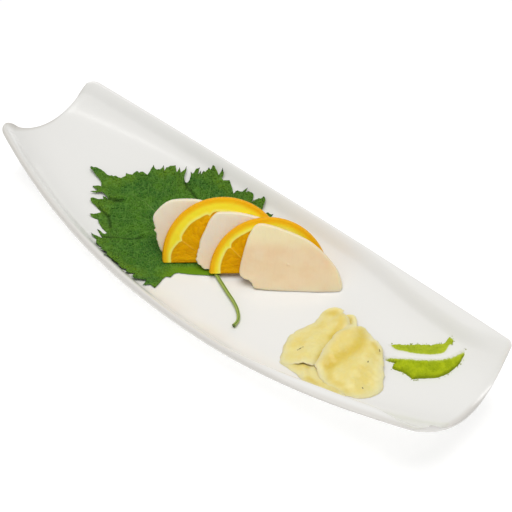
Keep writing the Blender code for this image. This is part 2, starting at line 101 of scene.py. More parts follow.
# Perilla leaf: its margin in mm, anticlockwise from the stem. A third number marks a corner,
# 1 at the tip of a tooth and 0 in a notch. The points between corners lie on smooth curves.
LEAF_MARGIN = [
    (2, -11.5, 0), (3, -3), (1.5, 3, 1), (-1.5, 6, 0), (-0.5, 12, 1), (-3.5, 15, 0), (-1.5, 22, 1),
    (-4.5, 25, 0), (-2.5, 31, 1), (-6, 34, 0), (-4, 40, 1), (-8, 42.5, 0), (-8, 48.5, 1),
    (-13, 46, 0), (-16, 46.3), (-17.3, 48), (-18.3, 51), (-19.8, 53.3), (-22, 53.9), (-23.8, 52.4),
    (-24.6, 50), (-25.2, 48.6, 0), (-26.2, 49.6, 1), (-26.8, 47.8, 0), (-27.6, 49.6), (-29.2, 51.9),
    (-31.5, 52.6), (-33.3, 51.6), (-34.3, 49.8, 0), (-35.4, 52.9, 1), (-37, 50), (-38.2, 48.2, 0),
    (-40.8, 47, 1), (-41.2, 45.4, 0), (-43.5, 46.8), (-47, 49), (-50.5, 50.6, 1), (-53, 47.8, 0),
    (-55.4, 48.4, 0), (-56, 50.8), (-57, 51.4), (-58.8, 52.8, 1), (-58.6, 51), (-58.2, 48.4, 0),
    (-60.5, 49.3), (-63, 50), (-65.8, 50.4, 1), (-66.2, 48.5, 0), (-67.7, 48.4, 1), (-67.5, 46.3),
    (-67.6, 44.6, 0), (-69, 44.5, 1), (-69.3, 42.6, 0), (-71, 44.3, 1), (-71.3, 41.6, 0), (-72, 43),
    (-73.2, 45.3, 1), (-73.9, 42.5), (-73.7, 39, 0), (-76, 39.4, 1), (-73.5, 37), (-71.6, 34.4, 0),
    (-71.8, 33), (-73, 31.5, 0), (-75, 32.6), (-76.8, 34.5), (-78.5, 37.5), (-81.6, 40.8, 1),
    (-80.5, 37.8), (-80.9, 34.8, 0), (-84.8, 37.3, 1), (-83.9, 35), (-83.6, 33.4, 0), (-87.7, 36.4, 1),
    (-88.7, 34), (-89.3, 31, 0), (-90.4, 30.6, 1), (-89, 27.6, 0), (-93.5, 30.8, 1), (-93, 28),
    (-93.2, 24.7, 0), (-95.5, 24.9), (-98.4, 26.3, 1), (-97.2, 23.2), (-95.9, 20.5), (-95.3, 17.8, 0),
    (-98.3, 15.8, 1), (-98.4, 13.4, 0), (-101.2, 14, 1), (-101.8, 12), (-101, 9.6, 0), (-102.5, 8.6),
    (-105, 7.6, 1), (-103, 5.4), (-103, 1.6, 0), (-105.5, 0), (-109, -1.4), (-114, -2.3), (-119, -3),
    (-122.5, -4.1), (-124.6, -6.2, 1), (-123.5, -7.5), (-119, -8.1), (-113.5, -8.6), (-110, -9.6),
    (-107.4, -11.6, 0), (-109.2, -13.7), (-110.9, -16.2, 1), (-108, -16.3), (-105.2, -15.9, 0),
    (-105.9, -18), (-106.9, -21.4, 1), (-104.3, -19), (-101.8, -15.6, 0), (-98.5, -15.3),
    (-94.5, -16.2, 0), (-98.6, -17.3, 1), (-96.3, -18.9, 0), (-98.7, -21.5), (-102.3, -24.4, 1),
    (-100, -26), (-95.5, -26.3), (-89.2, -26.7, 0), (-89, -30), (-90.5, -34.7, 1), (-87.5, -34.7),
    (-84.5, -33, 0), (-81, -34.8), (-76, -36.2, 1), (-71.3, -36.4, 0), (-71.8, -38.5), (-77.1, -39.4, 1),
    (-73.5, -40.7), (-70.8, -41.6, 1), (-66.9, -42.6, 0), (-70, -44.2), (-74.2, -46.1, 1),
    (-71, -47.2), (-68, -46.8, 0), (-65.5, -48.7), (-62, -51.4, 1), (-60, -49.6, 0), (-57, -50.6),
    (-53.2, -55.2, 1), (-53.6, -50.4, 0), (-51, -52), (-46.2, -57.6, 1), (-47.7, -51.6, 0), (-43, -54.2, 1),
    (-41, -51.6, 0), (-36.8, -54, 1), (-35.6, -50, 0), (-34, -51.5), (-29.9, -57, 1), (-31.5, -51),
    (-30.3, -47.6, 0), (-29, -50), (-25.2, -54.8, 1), (-23.8, -50), (-21.9, -46, 0), (-20.6, -48),
    (-18.8, -51.7, 1), (-18, -46.5, 0), (-14.2, -46.4, 1), (-16, -41.5), (-18, -37), (-18.6, -33.8, 0),
    (-16.4, -32, 1), (-17.2, -29, 0), (-16.5, -26.5), (-13, -23.8), (-8, -19.8), (-3, -15.5),
]
# Creases of the leaf: their lines, the depth of the valley and the rise on their left side, in mm
LEAF_CREASES = [
    ([(-69, -42), (-66, -37.5), (-63, -33.5), (-60, -31), (-57, -28), (-55, -23), (-54.5, -20)], 0.9, -0.9),
    ([(-74, -31.5), (-77, -29.2), (-82, -26.4), (-88, -25.7), (-97, -25.6)], 0.9, -1.9),
    ([(-95, -16.6), (-91.5, -14), (-89, -11), (-88, -8)], 0.8, 0.5),
    ([(-73, 31.5), (-69, 30), (-64, 28.8), (-58, 27.6), (-55, 27)], 0.9, -0.6),
]
LEAF_MIDRIB = [(2, -11.5), (-20, -8), (-45, -3), (-67, -0.5), (-81, 0), (-91, -3), (-100, -6.5),
               (-112, -6.5), (-124, -5)]
LEAF_THICKNESS = 0.45
LEAF_GRAIN = 0.6                # spacing of the leaf mesh, in mm
VEIN_SPACING = 11.0
STEM_PATH = [(1.4, -11.2), (10, -14.4), (18.4, -17.5), (26, -20.2), (32.8, -23.6), (38.4, -28.6),
             (40.6, -34.6)]
STEM_RADIUS = 1.3

# Slices: foot point in mm, turn of the lower edge and lean of the face in degrees, thickness
SLICE_STANCE = {
    "fish_slice_back": ((-28.8, -21.5), 45.0, 58.0, 5.6),
    "orange_slice_back": ((-27.9, -28.0), 45.0, 60.0, 4.3),
    "fish_slice_middle": ((-1.3, -10.3), 45.0, 60.0, 4.7),
    "orange_slice_front": ((0.3, -15.0), 45.0, 60.0, 4.3),
    "fish_slice_front": ((30.8, -1.3), 39.5, 56.0, 5.3),
}
ON_LEAF = 1.6                   # heights above the plate that slices rest at, in mm
ON_STEM = 3.4
FISH_OUTLINES = {
    "fish_slice_back": [(0, 0), (22, 0), (44, 0), (48, 8), (34, 28), (20, 35.2), (6, 36), (-2, 34),
                        (-9.6, 26.5), (-9.8, 18), (-7.8, 8), (-5.5, 2.5)],
    "fish_slice_middle": [(-2, 0), (22, 0), (45, 0), (49, 8), (34, 29), (20, 35), (6, 36.4), (0, 34.5),
                          (-5, 26), (-9.2, 16), (-11, 7), (-7.5, 1.5)],
    "fish_slice_front": [(-3, 0.3), (20, 0), (43, 0.6), (47.6, 3.6), (45.3, 13), (38.4, 22), (30, 29.2),
                         (22, 33.4), (12, 37), (2, 39.6), (-5, 39.6), (-9.3, 34), (-12.2, 24), (-13.9, 15),
                         (-14.2, 8.5), (-11.2, 6), (-7.5, 4.4)],
}
FRILL_TOP = {"fish_slice_back": 26.0, "fish_slice_middle": 20.0, "fish_slice_front": 12.0}
FISH_PALE = (0.942, 0.749, 0.495)
FISH_WARM = (0.92, 0.696, 0.435)
FISH_TOP = (0.977, 0.848, 0.541)
FISH_RIM = (0.80, 0.72, 0.54)

# Oranges: centre and radius of the round edge, core of the segments, angles of the first membrane
# and between membranes, and the widths of the rind at its lower end and round the top, on the face
ORANGES = {
    "orange_slice_back": ((37.2, 2.8), 37.42, (28.0, 2.0), 143.6, 56.0, 5.0, 8.3),
    "orange_slice_front": ((35.4, -1.5), 35.7, (28.0, 0.5), 134.0, 56.0, 6.4, 5.6),
}
RIND_SPREAD = 1.02
PULP_DEEP = (0.726, 0.354, 0.0)
PULP_BRIGHT = (0.836, 0.435, 0.0)
PITH_PALE = (0.99, 0.94, 0.23)
PITH_YELLOW = (0.99, 0.80, 0.035)
ZEST_AMBER = (0.93, 0.48, 0.002)
ZEST_EDGE = (0.84, 0.36, 0.004)

# Pickled ginger: margins in mm, anticlockwise
GINGER_MARGINS = {
    "ginger_under": [(80, -36.5), (86, -37.8), (92, -38), (97, -39.4), (101, -41), (106, -41),
                     (111, -39.8), (116, -38.6), (121, -37), (124, -34), (118, -29), (105, -25),
                     (95, -24), (86, -30)],
    "ginger_lobe": [(80, 11), (82, 14), (84, 16.4), (86.3, 17.6), (88.6, 16.8), (91.2, 14.4),
                    (94.5, 11.6), (97, 8), (95, 3), (89, 1), (83, 5)],
    "ginger_left": [(79.5, -37.3), (83.6, -36.4), (87.6, -32.8), (91, -29.4), (95, -25.6), (98.5, -19),
                    (97, -8), (95, 2), (91, 9), (86, 12.4), (82, 13.2), (80, 15.6), (76, 16.8),
                    (72.6, 15.4), (70.4, 12), (69.8, 8), (71, 3), (71.2, -3), (69, -8), (68, -14),
                    (69, -20), (72, -26), (76, -32.5)],
    "ginger_right": [(95.5, -26), (98.6, -28), (101.6, -30), (105.6, -32.4), (110.6, -34.6), (117, -34.8),
                     (123.6, -33.8), (129, -31), (133, -26), (134.4, -20), (133, -14.2),
                     (129.6, -9), (125.6, -4), (121.6, 0.4), (118.2, 4), (114.6, 7.4), (109.6, 9.8),
                     (104.4, 11.8), (99.5, 13.6), (95.4, 13.6), (91.6, 11), (89.2, 6), (88.8, -1),
                     (90, -8), (91.8, -15), (93.6, -21)],
}
GINGER_PALE = (0.949, 0.776, 0.331)
GINGER_YELLOW = (0.91, 0.694, 0.212)
GINGER_GOLD = (0.76, 0.54, 0.06)
GINGER_THIN = (0.93, 0.86, 0.56)
GINGER_THICKNESS = 1.0
GINGER_LIFT = 0.05
# Ridges and valleys of the ginger: their lines, half widths and heights in mm
GINGER_FOLDS = {
    "ginger_left": [([(80, 12), (83, 6), (84, -6), (86, -18), (89, -27)], 7.5, 2.6),
                    ([(71, 14), (77, 15), (85, 11)], 4.0, 1.3),
                    ([(74, 6), (75, -6), (77, -20)], 3.0, -0.25)],
    "ginger_right": [([(93, 9), (93.5, 1), (95, -8), (99, -17)], 4.2, 1.3),
                     ([(110, 4), (113, -7), (117, -17), (121, -26)], 5.5, 1.2),
                     ([(100, 9), (104, -3), (104.5, -14), (102, -22)], 4.0, -1.1),
                     ([(118, -3), (124, -12), (128, -22)], 3.0, -0.5),
                     ([(101, -24), (109, -30), (119, -32)], 3.0, -0.7)],
    "ginger_lobe": [([(82, 13), (86.5, 16.5), (91, 14)], 2.0, 1.2), ([(86, 12), (90, 8)], 2.4, -0.8)],
    "ginger_under": [([(92, -31), (98, -36)], 2.2, 0.7), ([(101, -39), (106, -36)], 2.0, -0.4)],
}
# Where the ginger is a deeper yellow, partly its own tint and partly painted shade in its folds and under the slices
# over it: lines, half widths and strengths
GINGER_TINT_AND_SHADE = {
    "ginger_left": [([(72, 9), (77, 11), (84, 10), (87, 3), (88.5, -5)], 2.6, 0.8),
                    ([(91, -8), (92.5, -17), (94, -23)], 2.0, 0.8), ([(75, 2), (78, -6)], 4.0, 0.25)],
    "ginger_right": [([(97, 12), (101, 8), (105, -2), (104, -10), (103, -20)], 4.4, 0.9),
                     ([(98, -21), (104, -25), (107, -28)], 3.2, 0.6), ([(111, 5), (117, 1.5)], 1.8, 0.9),
                     ([(110, -31), (117, -29.5)], 2.6, 0.6), ([(122, -32), (126, -33.5)], 2.6, 0.9),
                     ([(118, -14), (121, -20)], 2.6, 0.35)],
    "ginger_lobe": [([(85.4, 14), (87.6, 10)], 2.4, 1.0)],
    "ginger_under": [([(101, -38), (106, -39)], 3.0, 1.0), ([(88, -31), (93, -29)], 2.2, 0.8),
                     ([(115, -37), (119, -36)], 2.4, 0.9)],
}
# Brown flecks on the ginger: slice, place, length, width and turn
GINGER_FLECKS = [
    ("ginger_left", 80.9, -21.6, 1.9, 0.42, 80.0), ("ginger_left", 80.6, -23.4, 1.1, 0.36, 60.0),
    ("ginger_left", 81.4, -20.4, 0.8, 0.34, 110.0), ("ginger_right", 117.4, -8.2, 1.1, 0.5, -50.0),
    ("ginger_right", 126.2, -23.0, 1.2, 0.45, -20.0), ("ginger_right", 116.2, 3.4, 1.6, 0.35, -40.0),
]

# Wasabi strokes: their ragged outer margins, their soft inner margins and their heights, in mm
WASABI = {
    "wasabi_near": ([(118.6, 4.9), (121, 3.0), (124.5, 3.8), (126.8, 4.1), (127, 1.5), (127.8, 0.3),
                     (131, 0.6), (134, 1.4), (138, 1.1), (141, 0.7), (142.4, 1.9), (145, 4.4), (148, 7),
                     (151, 10), (153, 14), (153.8, 17.5), (154.5, 22), (153.9, 26), (153, 29.2),
                     (151.4, 31.5)],
                    [(151.4, 31.5), (149, 28.5), (147.5, 25.8), (145, 23), (140, 19.4), (135, 16.2),
                     (131, 13.6), (127, 11.0), (122, 7.9), (118.6, 4.9)], 2.4),
    "wasabi_far": ([(143.6, 29.6), (143.2, 32.4), (141.4, 33.6), (139.4, 33.4), (139.6, 30.4), (138, 28.4),
                    (134, 26), (130, 23.9), (127, 22.4), (124.5, 20.8), (122.6, 18.2), (120, 17.2),
                    (117.6, 15.8), (114.6, 13.4)],
                   [(114.6, 13.4), (117.5, 12.2), (121, 12.0), (125, 13.6), (129, 15.0), (133, 16.9),
                    (137, 19.0), (141, 21.6), (144, 25), (143.6, 29.6)], 1.5),
}
CRUMB_COUNT = 44


# ---------------------------------------------------------------- numbers and noise

def smooth(value):
    """Ease from 0 to 1 as value goes from 0 to 1."""
    value = np.clip(value, 0.0, 1.0)
    return value * value * (3.0 - 2.0 * value)


def curve(points, positions, closed=False):
    """Points on the Catmull-Rom curve through points, at positions counted in points."""
    points = np.asarray(points, float)
    positions = np.atleast_1d(np.asarray(positions, float))
    count = len(points)
    start = np.floor(positions).astype(int)
    part = (positions - start)[:, None]

    def control(step):
        index = start + step
        return points[index % count if closed else np.clip(index, 0, count - 1)]

    before, here, there, after = (control(step) for step in (-1, 0, 1, 2))
    return 0.5 * (2.0 * here + (there - before) * part
                  + (2.0 * before - 5.0 * here + 4.0 * there - after) * part ** 2
                  + (3.0 * here - before - 3.0 * there + after) * part ** 3)


def even_points(outline, count):
    """Spread count points evenly along a closed outline."""
    outline = np.asarray(outline, float)
    around = np.vstack([outline, outline[:1]])
    lengths = np.concatenate([[0.0], np.cumsum(np.linalg.norm(np.diff(around, axis=0), axis=1))])
    targets = np.linspace(0.0, lengths[-1], count, endpoint=False)
    return np.stack([np.interp(targets, lengths, around[:, axis]) for axis in (0, 1)], axis=1)


def bumps(x, y, seed):
    """Smooth random hills from -1 to 1, about one for each unit of x and y."""
    size = 61
    table = np.random.default_rng(seed).uniform(-1.0, 1.0, (size, size))
    column = np.floor(x).astype(int)
    row = np.floor(y).astype(int)
    across = smooth(x - column)
    up = smooth(y - row)
    lower = table[column % size, row % size] * (1 - across) + table[(column + 1) % size, row % size] * across
    column_next, row_next = (column + 1) % size, (row + 1) % size
    upper = table[column % size, row_next] * (1 - across) + table[column_next, row_next] * across
    return lower * (1 - up) + upper * up


def rough(x, y, seed, layers=3):
    """Layers of bumps, each half as large and twice as fine."""
    total = 0.0
    for layer in range(layers):
        total = total + bumps(x * 2 ** layer, y * 2 ** layer, seed + layer) * 0.5 ** layer
    return total


def cells(x, y, seed):
    """Distances to the nearest and second nearest of scattered points, one for each unit
    square, and a random number from 0 to 1 that belongs to the nearest."""
    size = 61
    table = np.random.default_rng(seed).uniform(0.0, 1.0, (size, size, 3))
    column = np.floor(x).astype(int)
    row = np.floor(y).astype(int)
    nearest = np.full(np.shape(x), 9.0)
    second = np.full(np.shape(x), 9.0)
    number = np.zeros(np.shape(x))
    for step_x in (-1, 0, 1):
        for step_y in (-1, 0, 1):
            pick = table[(column + step_x) % size, (row + step_y) % size]
            distance = np.hypot(column + step_x + pick[..., 0] - x, row + step_y + pick[..., 1] - y)
            closer = distance < nearest
            second = np.where(closer, nearest, np.minimum(second, distance))
            number = np.where(closer, pick[..., 2], number)
            nearest = np.minimum(nearest, distance)
    return nearest, second, number


def off_line(x, y, line):
    """Distance from a line of points, positive on its left side, and how far along it."""
    line = np.asarray(line, float)
    best = np.full(np.shape(x), 1e9)
    signed = np.zeros(np.shape(x))
    along = np.zeros(np.shape(x))
    for index in range(len(line) - 1):
        start, step = line[index], line[index + 1] - line[index]
        part = np.clip(((x - start[0]) * step[0] + (y - start[1]) * step[1]) / (step @ step), 0.0, 1.0)
        gap_x, gap_y = x - start[0] - part * step[0], y - start[1] - part * step[1]
        distance = np.hypot(gap_x, gap_y)
        closer = distance < best
        best = np.where(closer, distance, best)
        signed = np.where(closer, np.copysign(distance, step[0] * gap_y - step[1] * gap_x), signed)
        along = np.where(closer, (index + part) / (len(line) - 1), along)
    return signed, along


# ---------------------------------------------------------------- the plate's surfaces

def half_width(s):
    """Half width of the plate at s, with its corners rounded in plan."""
    width = HALF_WIDTH_MID - (HALF_WIDTH_MID - HALF_WIDTH_END) * np.abs(s) ** WIDTH_POWER
    short = np.clip(CORNER_RADIUS - (1.0 - np.abs(s)) * HALF_LENGTH, 0.0, CORNER_RADIUS)
    return width + np.sqrt(CORNER_RADIUS ** 2 - short ** 2) - CORNER_RADIUS


def rim_height(s):
    return RIM_MID + (RIM_END - RIM_MID) * np.abs(s) ** RIM_POWER


def lip_height(s):
    return LIP_HEIGHT + (END_THICKNESS - LIP_HEIGHT) * s * s


def lip_round(s):
    grown = smooth((s - 0.3) / 0.4) * (1.0 - smooth((s - 0.8) / 0.18))
    return LIP_ROUND_LEFT + (LIP_ROUND_RIGHT - LIP_ROUND_LEFT) * grown


def floor_height(s):
    return FLOOR_MID + (FLOOR_END - FLOOR_MID) * s * s


def inside_height(s, v):
    flatness = 1.0 - np.minimum(np.abs(s), 1.0) ** 1.5
    power = WALL_POWER_END + (WALL_POWER_MID - WALL_POWER_END) * flatness
    crest = rim_height(s) + 0.5 * lip_height(s)
    wall = np.abs(v) ** power
    from_edge = (1.0 - np.abs(v)) * half_width(s)
    ledge = 1.0 - smooth((from_edge + LIP_FLAT - lip_round(s)) / LIP_SLOPE)
    ledge = ledge * (1.0 - 0.8 * smooth((s - 0.84) / 0.14))
    wall = wall + (1.0 - wall) * ledge * np.where(v > 0.0, LIP_FAR_SHARE, 1.0)
    return floor_height(s) + (crest - floor_height(s)) * wall


def outside_height(s, v):
    flatness = 1.0 - np.minimum(np.abs(s), 1.0) ** 1.5
    thickness = BODY_THICKNESS + (END_THICKNESS - BODY_THICKNESS) * s * s
    power = WALL_POWER_END + (UNDER_POWER - WALL_POWER_END) * flatness
    low = floor_height(s) - thickness
    lip = rim_height(s) - 0.5 * lip_height(s) + LIP_TRIM * smooth((s + 0.3) / 0.5)
    return low + (lip - low) * np.abs(v) ** power


def resting_height(x, y):
    """Height of the plate's inside under a point."""
    s = x / HALF_LENGTH
    v = np.clip(y / half_width(s), -1.0, 1.0)
    s = x / (HALF_LENGTH + END_BOW * (1.0 - v * v))
    v = np.clip(y / half_width(s), -1.0, 1.0)
    return inside_height(s, v)


# ---------------------------------------------------------------- meshes

def add_mark(mesh, mark, values):
    """Give a mesh's points a number or a vector each, for its material."""
    values = np.asarray(values, np.float32).reshape(len(mesh.vertices), -1)
    kind, field = ('FLOAT_VECTOR', "vector") if values.shape[1] == 3 else ('FLOAT', "value")
    attribute = mesh.attributes.new(mark, kind, 'POINT')
    attribute.data.foreach_set(field, values.reshape(-1))


def skin(name, rows, marks=None, sharp=180.0):
    """A closed mesh from rows of points in mm. Each row is a loop, joined to the next by quads.

    Points that coincide, as at a pole, become one. marks are numbers or vectors for the
    material, one for each point.
    """
    rows = np.asarray(rows, float)
    index = np.arange(rows.shape[0] * rows.shape[1]).reshape(rows.shape[:2])
    ahead = np.roll(index, -1, axis=1)
    faces = np.stack([index[:-1], ahead[:-1], ahead[1:], index[1:]], axis=-1).reshape(-1, 4)
    mesh = bpy.data.meshes.new(name)
    mesh.from_pydata((rows.reshape(-1, 3) * MM).tolist(), [], faces.tolist())
    for mark, values in (marks or {}).items():
        add_mark(mesh, mark, np.reshape(values, (index.size, -1)))
    work = bmesh.new()
    work.from_mesh(mesh)
    bmesh.ops.remove_doubles(work, verts=work.verts, dist=0.002 * MM)
    if work.calc_volume(signed=True) < 0.0:
        bmesh.ops.reverse_faces(work, faces=work.faces)
    work.to_mesh(mesh)
    work.free()
    mesh.shade_smooth()
    if sharp < 180.0:
        mesh.set_sharp_from_angle(angle=math.radians(sharp))
    piece = bpy.data.objects.new(name, mesh)
    bpy.context.scene.collection.objects.link(piece)
    return piece


def inside_outline(x, y, outline):
    """Which points lie inside a closed outline."""
    inside = np.zeros(np.shape(x), bool)
    for start, end in zip(outline, np.roll(outline, -1, axis=0)):
        if start[1] != end[1]:
            crosses = (start[1] > y) != (end[1] > y)
            inside ^= crosses & (x < start[0] + (end[0] - start[0]) * (y - start[1]) / (end[1] - start[1]))
    return inside


def fill_outline(outline, spacing):
    """Fill an outline in mm with triangles: points, triangles and distances from the outline."""
    outline = np.asarray(outline, float)
    low, high = outline.min(axis=0), outline.max(axis=0)
    rows = np.arange(low[1], high[1], spacing * 0.87)
    grid = []
    for number, row in enumerate(rows):
        across = np.arange(low[0] + 0.5 * spacing * (number % 2), high[0], spacing)
        grid.append(np.stack([across, np.full(len(across), row)], axis=1))
    grid = np.concatenate(grid)
    grid = grid[inside_outline(grid[:, 0], grid[:, 1], outline)]
    rim = edge_distance(grid[:, 0], grid[:, 1], outline)
    points = np.vstack([outline, grid[rim > 0.6 * spacing]])
    edges = [(index, (index + 1) % len(outline)) for index in range(len(outline))]
    points, _, triangles, *_ = delaunay_2d_cdt([Vector(point) for point in points], edges, [], 1, 1e-4)
    points = np.array([tuple(point) for point in points])
    rim = edge_distance(points[:, 0], points[:, 1], outline)
    return points[:, 0], points[:, 1], np.array(triangles), rim


def edge_distance(x, y, outline):
    """Distance of each point from a closed outline."""
    closed = np.vstack([outline, outline[:1]])
    return np.abs(off_line(x, y, closed)[0])


def sheet(name, outline, spacing, shape):
    """A closed thin piece inside an outline in mm. shape takes x, y and the distance from the
    margin, and gives the heights of the top and the under side and the material's marks."""
    x, y, triangles, rim = fill_outline(outline, spacing)
    top, under, marks = shape(x, y, rim)
    border = rim < 0.001
    top = np.where(border, 0.5 * (top + under), top)
    count = len(x)
    below = np.where(border, np.arange(count), count - 1 + np.cumsum(~border))
    points = np.vstack([np.stack([x, y, top], axis=1), np.stack([x, y, under], axis=1)[~border]])
    faces = np.vstack([triangles, below[triangles[:, ::-1]]])
    mesh = bpy.data.meshes.new(name)
    mesh.from_pydata((points * MM).tolist(), [], faces.tolist())
    for mark, values in marks.items():
        values = np.concatenate([values, values[~border]])
        add_mark(mesh, mark, values)
    mesh.shade_smooth()
    mesh.set_sharp_from_angle(angle=math.radians(70.0))
    piece = bpy.data.objects.new(name, mesh)
    bpy.context.scene.collection.objects.link(piece)
    return piece


def dress(piece, material, slot, *nodes):
    """Give a piece its material and body, and hide the CAD nodes that it stands for. slot is not used."""
    piece.data.materials.clear()
    piece.data.materials.append(material)
    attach(piece, "root")
    if nodes:
        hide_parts(*nodes)
    return piece


# ---------------------------------------------------------------- material helpers

def add(tree, kind, settings=None, **sockets):
    """A new node. settings are its properties; sockets are values or other nodes' outputs."""
    node = tree.nodes.new("ShaderNode" + kind)
    for key, value in (settings or {}).items():
        setattr(node, key, value)
    for key, value in sockets.items():
        socket = node.inputs[key.replace("_", " ")]
        if isinstance(value, bpy.types.NodeSocket):
            tree.links.new(value, socket)
        else:
            socket.default_value = value
    return node


def mark(tree, name):
    return add(tree, "Attribute", {"attribute_name": name})


def split(tree, node):
    """The three numbers of a vector mark."""
    return add(tree, "SeparateXYZ", None, Vector=node.outputs["Vector"]).outputs


def maths(tree, operation, first, second=0.0):
    node = tree.nodes.new("ShaderNodeMath")
    node.operation = operation
    for socket, value in zip(node.inputs, (first, second)):
        if isinstance(value, bpy.types.NodeSocket):
            tree.links.new(value, socket)
        else:
            socket.default_value = value
    return node.outputs[0]


def between(tree, value, low, high, start=0.0, end=1.0):
    """Ease from start to end as value goes from low to high."""
    node = add(tree, "MapRange", {"interpolation_type": 'SMOOTHSTEP'}, Value=value,
               From_Min=low, From_Max=high, To_Min=start, To_Max=end)
    return node.outputs[0]


def mix(tree, factor, first, second, blend='MIX'):
    node = tree.nodes.new("ShaderNodeMix")
    node.data_type = 'RGBA'
    node.blend_type = blend
    for socket, value in ((node.inputs[0], factor), (node.inputs[6], first), (node.inputs[7], second)):
        if isinstance(value, bpy.types.NodeSocket):
            tree.links.new(value, socket)
        elif isinstance(value, tuple):
            socket.default_value = (*value, 1.0)
        else:
            socket.default_value = value
    return node.outputs[2]


def noise(tree, place, scale, detail=2.0, roughness=0.5):
    node = add(tree, "TexNoise", None, Vector=place, Scale=scale, Detail=detail, Roughness=roughness)
    return node.outputs["Fac"]


def stretched(tree, place, scale):
    """A place with each of its axes scaled."""
    return add(tree, "Mapping", {"vector_type": 'POINT'}, Vector=place, Scale=scale).outputs[0]


def bump(tree, height, distance, strength=1.0, normal=None):
    node = add(tree, "Bump", None, Height=height, Distance=distance, Strength=strength)
    if normal is not None:
        tree.links.new(normal, node.inputs["Normal"])
    return node.outputs[0]


def new_material(name, roughness, **sockets):
    """A Principled material: its tree, its shader node and the object's own coordinates."""
    material = bpy.data.materials.new(name)
    material.use_nodes = True
    tree = material.node_tree
    shader = tree.nodes["Principled BSDF"]
    shader.inputs["Roughness"].default_value = roughness
    for key, value in sockets.items():
        shader.inputs[key.replace("_", " ")].default_value = value
    place = tree.nodes.new("ShaderNodeTexCoord").outputs["Object"]
    return material, tree, shader, place


def finish_material(tree, shader, colour, normal=None, roughness=None):
    tree.links.new(colour, shader.inputs["Base Color"])
    if normal is not None:
        tree.links.new(normal, shader.inputs["Normal"])
    if roughness is not None:
        tree.links.new(roughness, shader.inputs["Roughness"])


# ---------------------------------------------------------------- materials

def glaze_material():
    """White glaze with a bare foot, greyer at the edges: partly where the glaze runs thin, partly painted shade on
    the rim's outer side.
    """
    material, tree, shader, place = new_material("white_glaze", 0.2, IOR=1.5, Coat_Weight=0.25,
                                                 Coat_Roughness=0.08)
    cloud = noise(tree, place, 14.0, 2.0)
    colour = mix(tree, cloud, (0.862, 0.858, 0.832), (0.882, 0.878, 0.858))
    # painted shade: the glaze turns grey near the edges and on the rim's outer side, less on the far rim; partly the
    # glaze running thin
    edge = between(tree, mark(tree, "from_edge").outputs["Fac"], 1.0, 4.5, 1.0, 0.0)
    colour = mix(tree, edge, colour, (0.735, 0.715, 0.675))
    height = add(tree, "SeparateXYZ", None, Vector=place).outputs["Z"]
    bare = between(tree, height, 0.0002, 0.0006, 1.0, 0.0)
    grit = noise(tree, place, 1800.0, 3.0)
    clay = mix(tree, grit, (0.66, 0.62, 0.55), (0.76, 0.72, 0.66))
    colour = mix(tree, bare, colour, clay)
    uneven = noise(tree, place, 90.0, 1.0)
    pits = maths(tree, 'MULTIPLY', grit, bare)
    normal = bump(tree, uneven, 0.0004, 0.12)
    normal = bump(tree, pits, 0.0001, 0.8, normal)
    shine = maths(tree, 'ADD', maths(tree, 'MULTIPLY', bare, 0.6), between(tree, cloud, 0.3, 0.7, 0.17, 0.24))
    finish_material(tree, shader, colour, normal, shine)
    return material


def leaf_material():
    """Matte leaf with pale veins, a fine net between them and a smooth light base."""
    material, tree, shader, place = new_material("leaf_green", 0.6)
    shader.inputs["Specular IOR Level"].default_value = 0.1
    side_vein, midrib, smooth_base = split(tree, mark(tree, "veins"))
    painted_crease_shade, tip, rim = split(tree, mark(tree, "shade"))
    patch = noise(tree, place, 70.0, 4.0, 0.7)
    grain = noise(tree, place, 900.0, 3.0, 0.65)
    colour = mix(tree, between(tree, patch, 0.35, 0.65), (0.040, 0.148, 0.018), (0.080, 0.220, 0.014))
    yellow = maths(tree, 'MULTIPLY', between(tree, rim, 1.5, 10.0, 1.0, 0.0), between(tree, patch, 0.3, 0.7))
    colour = mix(tree, yellow, colour, (0.130, 0.255, 0.014))
    net = add(tree, "TexVoronoi", {"feature": 'DISTANCE_TO_EDGE'}, Vector=place, Scale=420.0)
    net = net.outputs["Distance"]
    net_line = between(tree, net, 0.02, 0.2, 1.0, 0.0)
    light = between(tree, noise(tree, place, 420.0, 2.0, 0.6), 0.52, 0.7, 0.0, 0.55)
    colour = mix(tree, light, colour, (0.125, 0.255, 0.050))
    colour = mix(tree, maths(tree, 'MULTIPLY', net_line, 0.5), colour, (0.120, 0.260, 0.042))
    colour = mix(tree, between(tree, grain, 0.5, 0.75, 0.0, 0.4), colour, (0.026, 0.082, 0.008))
    vein_line = between(tree, side_vein, 0.12, 0.42, 1.0, 0.0)
    rib_line = between(tree, midrib, 0.3, 0.8, 1.0, 0.0)
    line = maths(tree, 'MAXIMUM', maths(tree, 'MULTIPLY', vein_line, 0.2), maths(tree, 'MULTIPLY', rib_line, 0.7))
    colour = mix(tree, line, colour, (0.165, 0.300, 0.065))
    colour = mix(tree, maths(tree, 'MULTIPLY', smooth_base, 0.85), colour, (0.135, 0.275, 0.003))
    # painted shade: the leaf is darker along its creases
    colour = mix(tree, maths(tree, 'MULTIPLY', painted_crease_shade, 0.7), colour, (0.012, 0.036, 0.003))
    dark_tip = maths(tree, 'MULTIPLY', between(tree, tip, 0.2, 1.8, 0.7, 0.0), between(tree, rim, 0.0, 1.0, 1.0, 0.3))
    colour = mix(tree, dark_tip, colour, (0.022, 0.050, 0.010))
    flat = between(tree, smooth_base, 0.0, 1.0, 1.0, 0.15)
    wrinkle = maths(tree, 'MULTIPLY', between(tree, net, 0.0, 0.35), flat)
    normal = bump(tree, wrinkle, 0.0009, 0.9)
    normal = bump(tree, grain, 0.0003, 0.5, normal)
    finish_material(tree, shader, colour, normal)
    return material


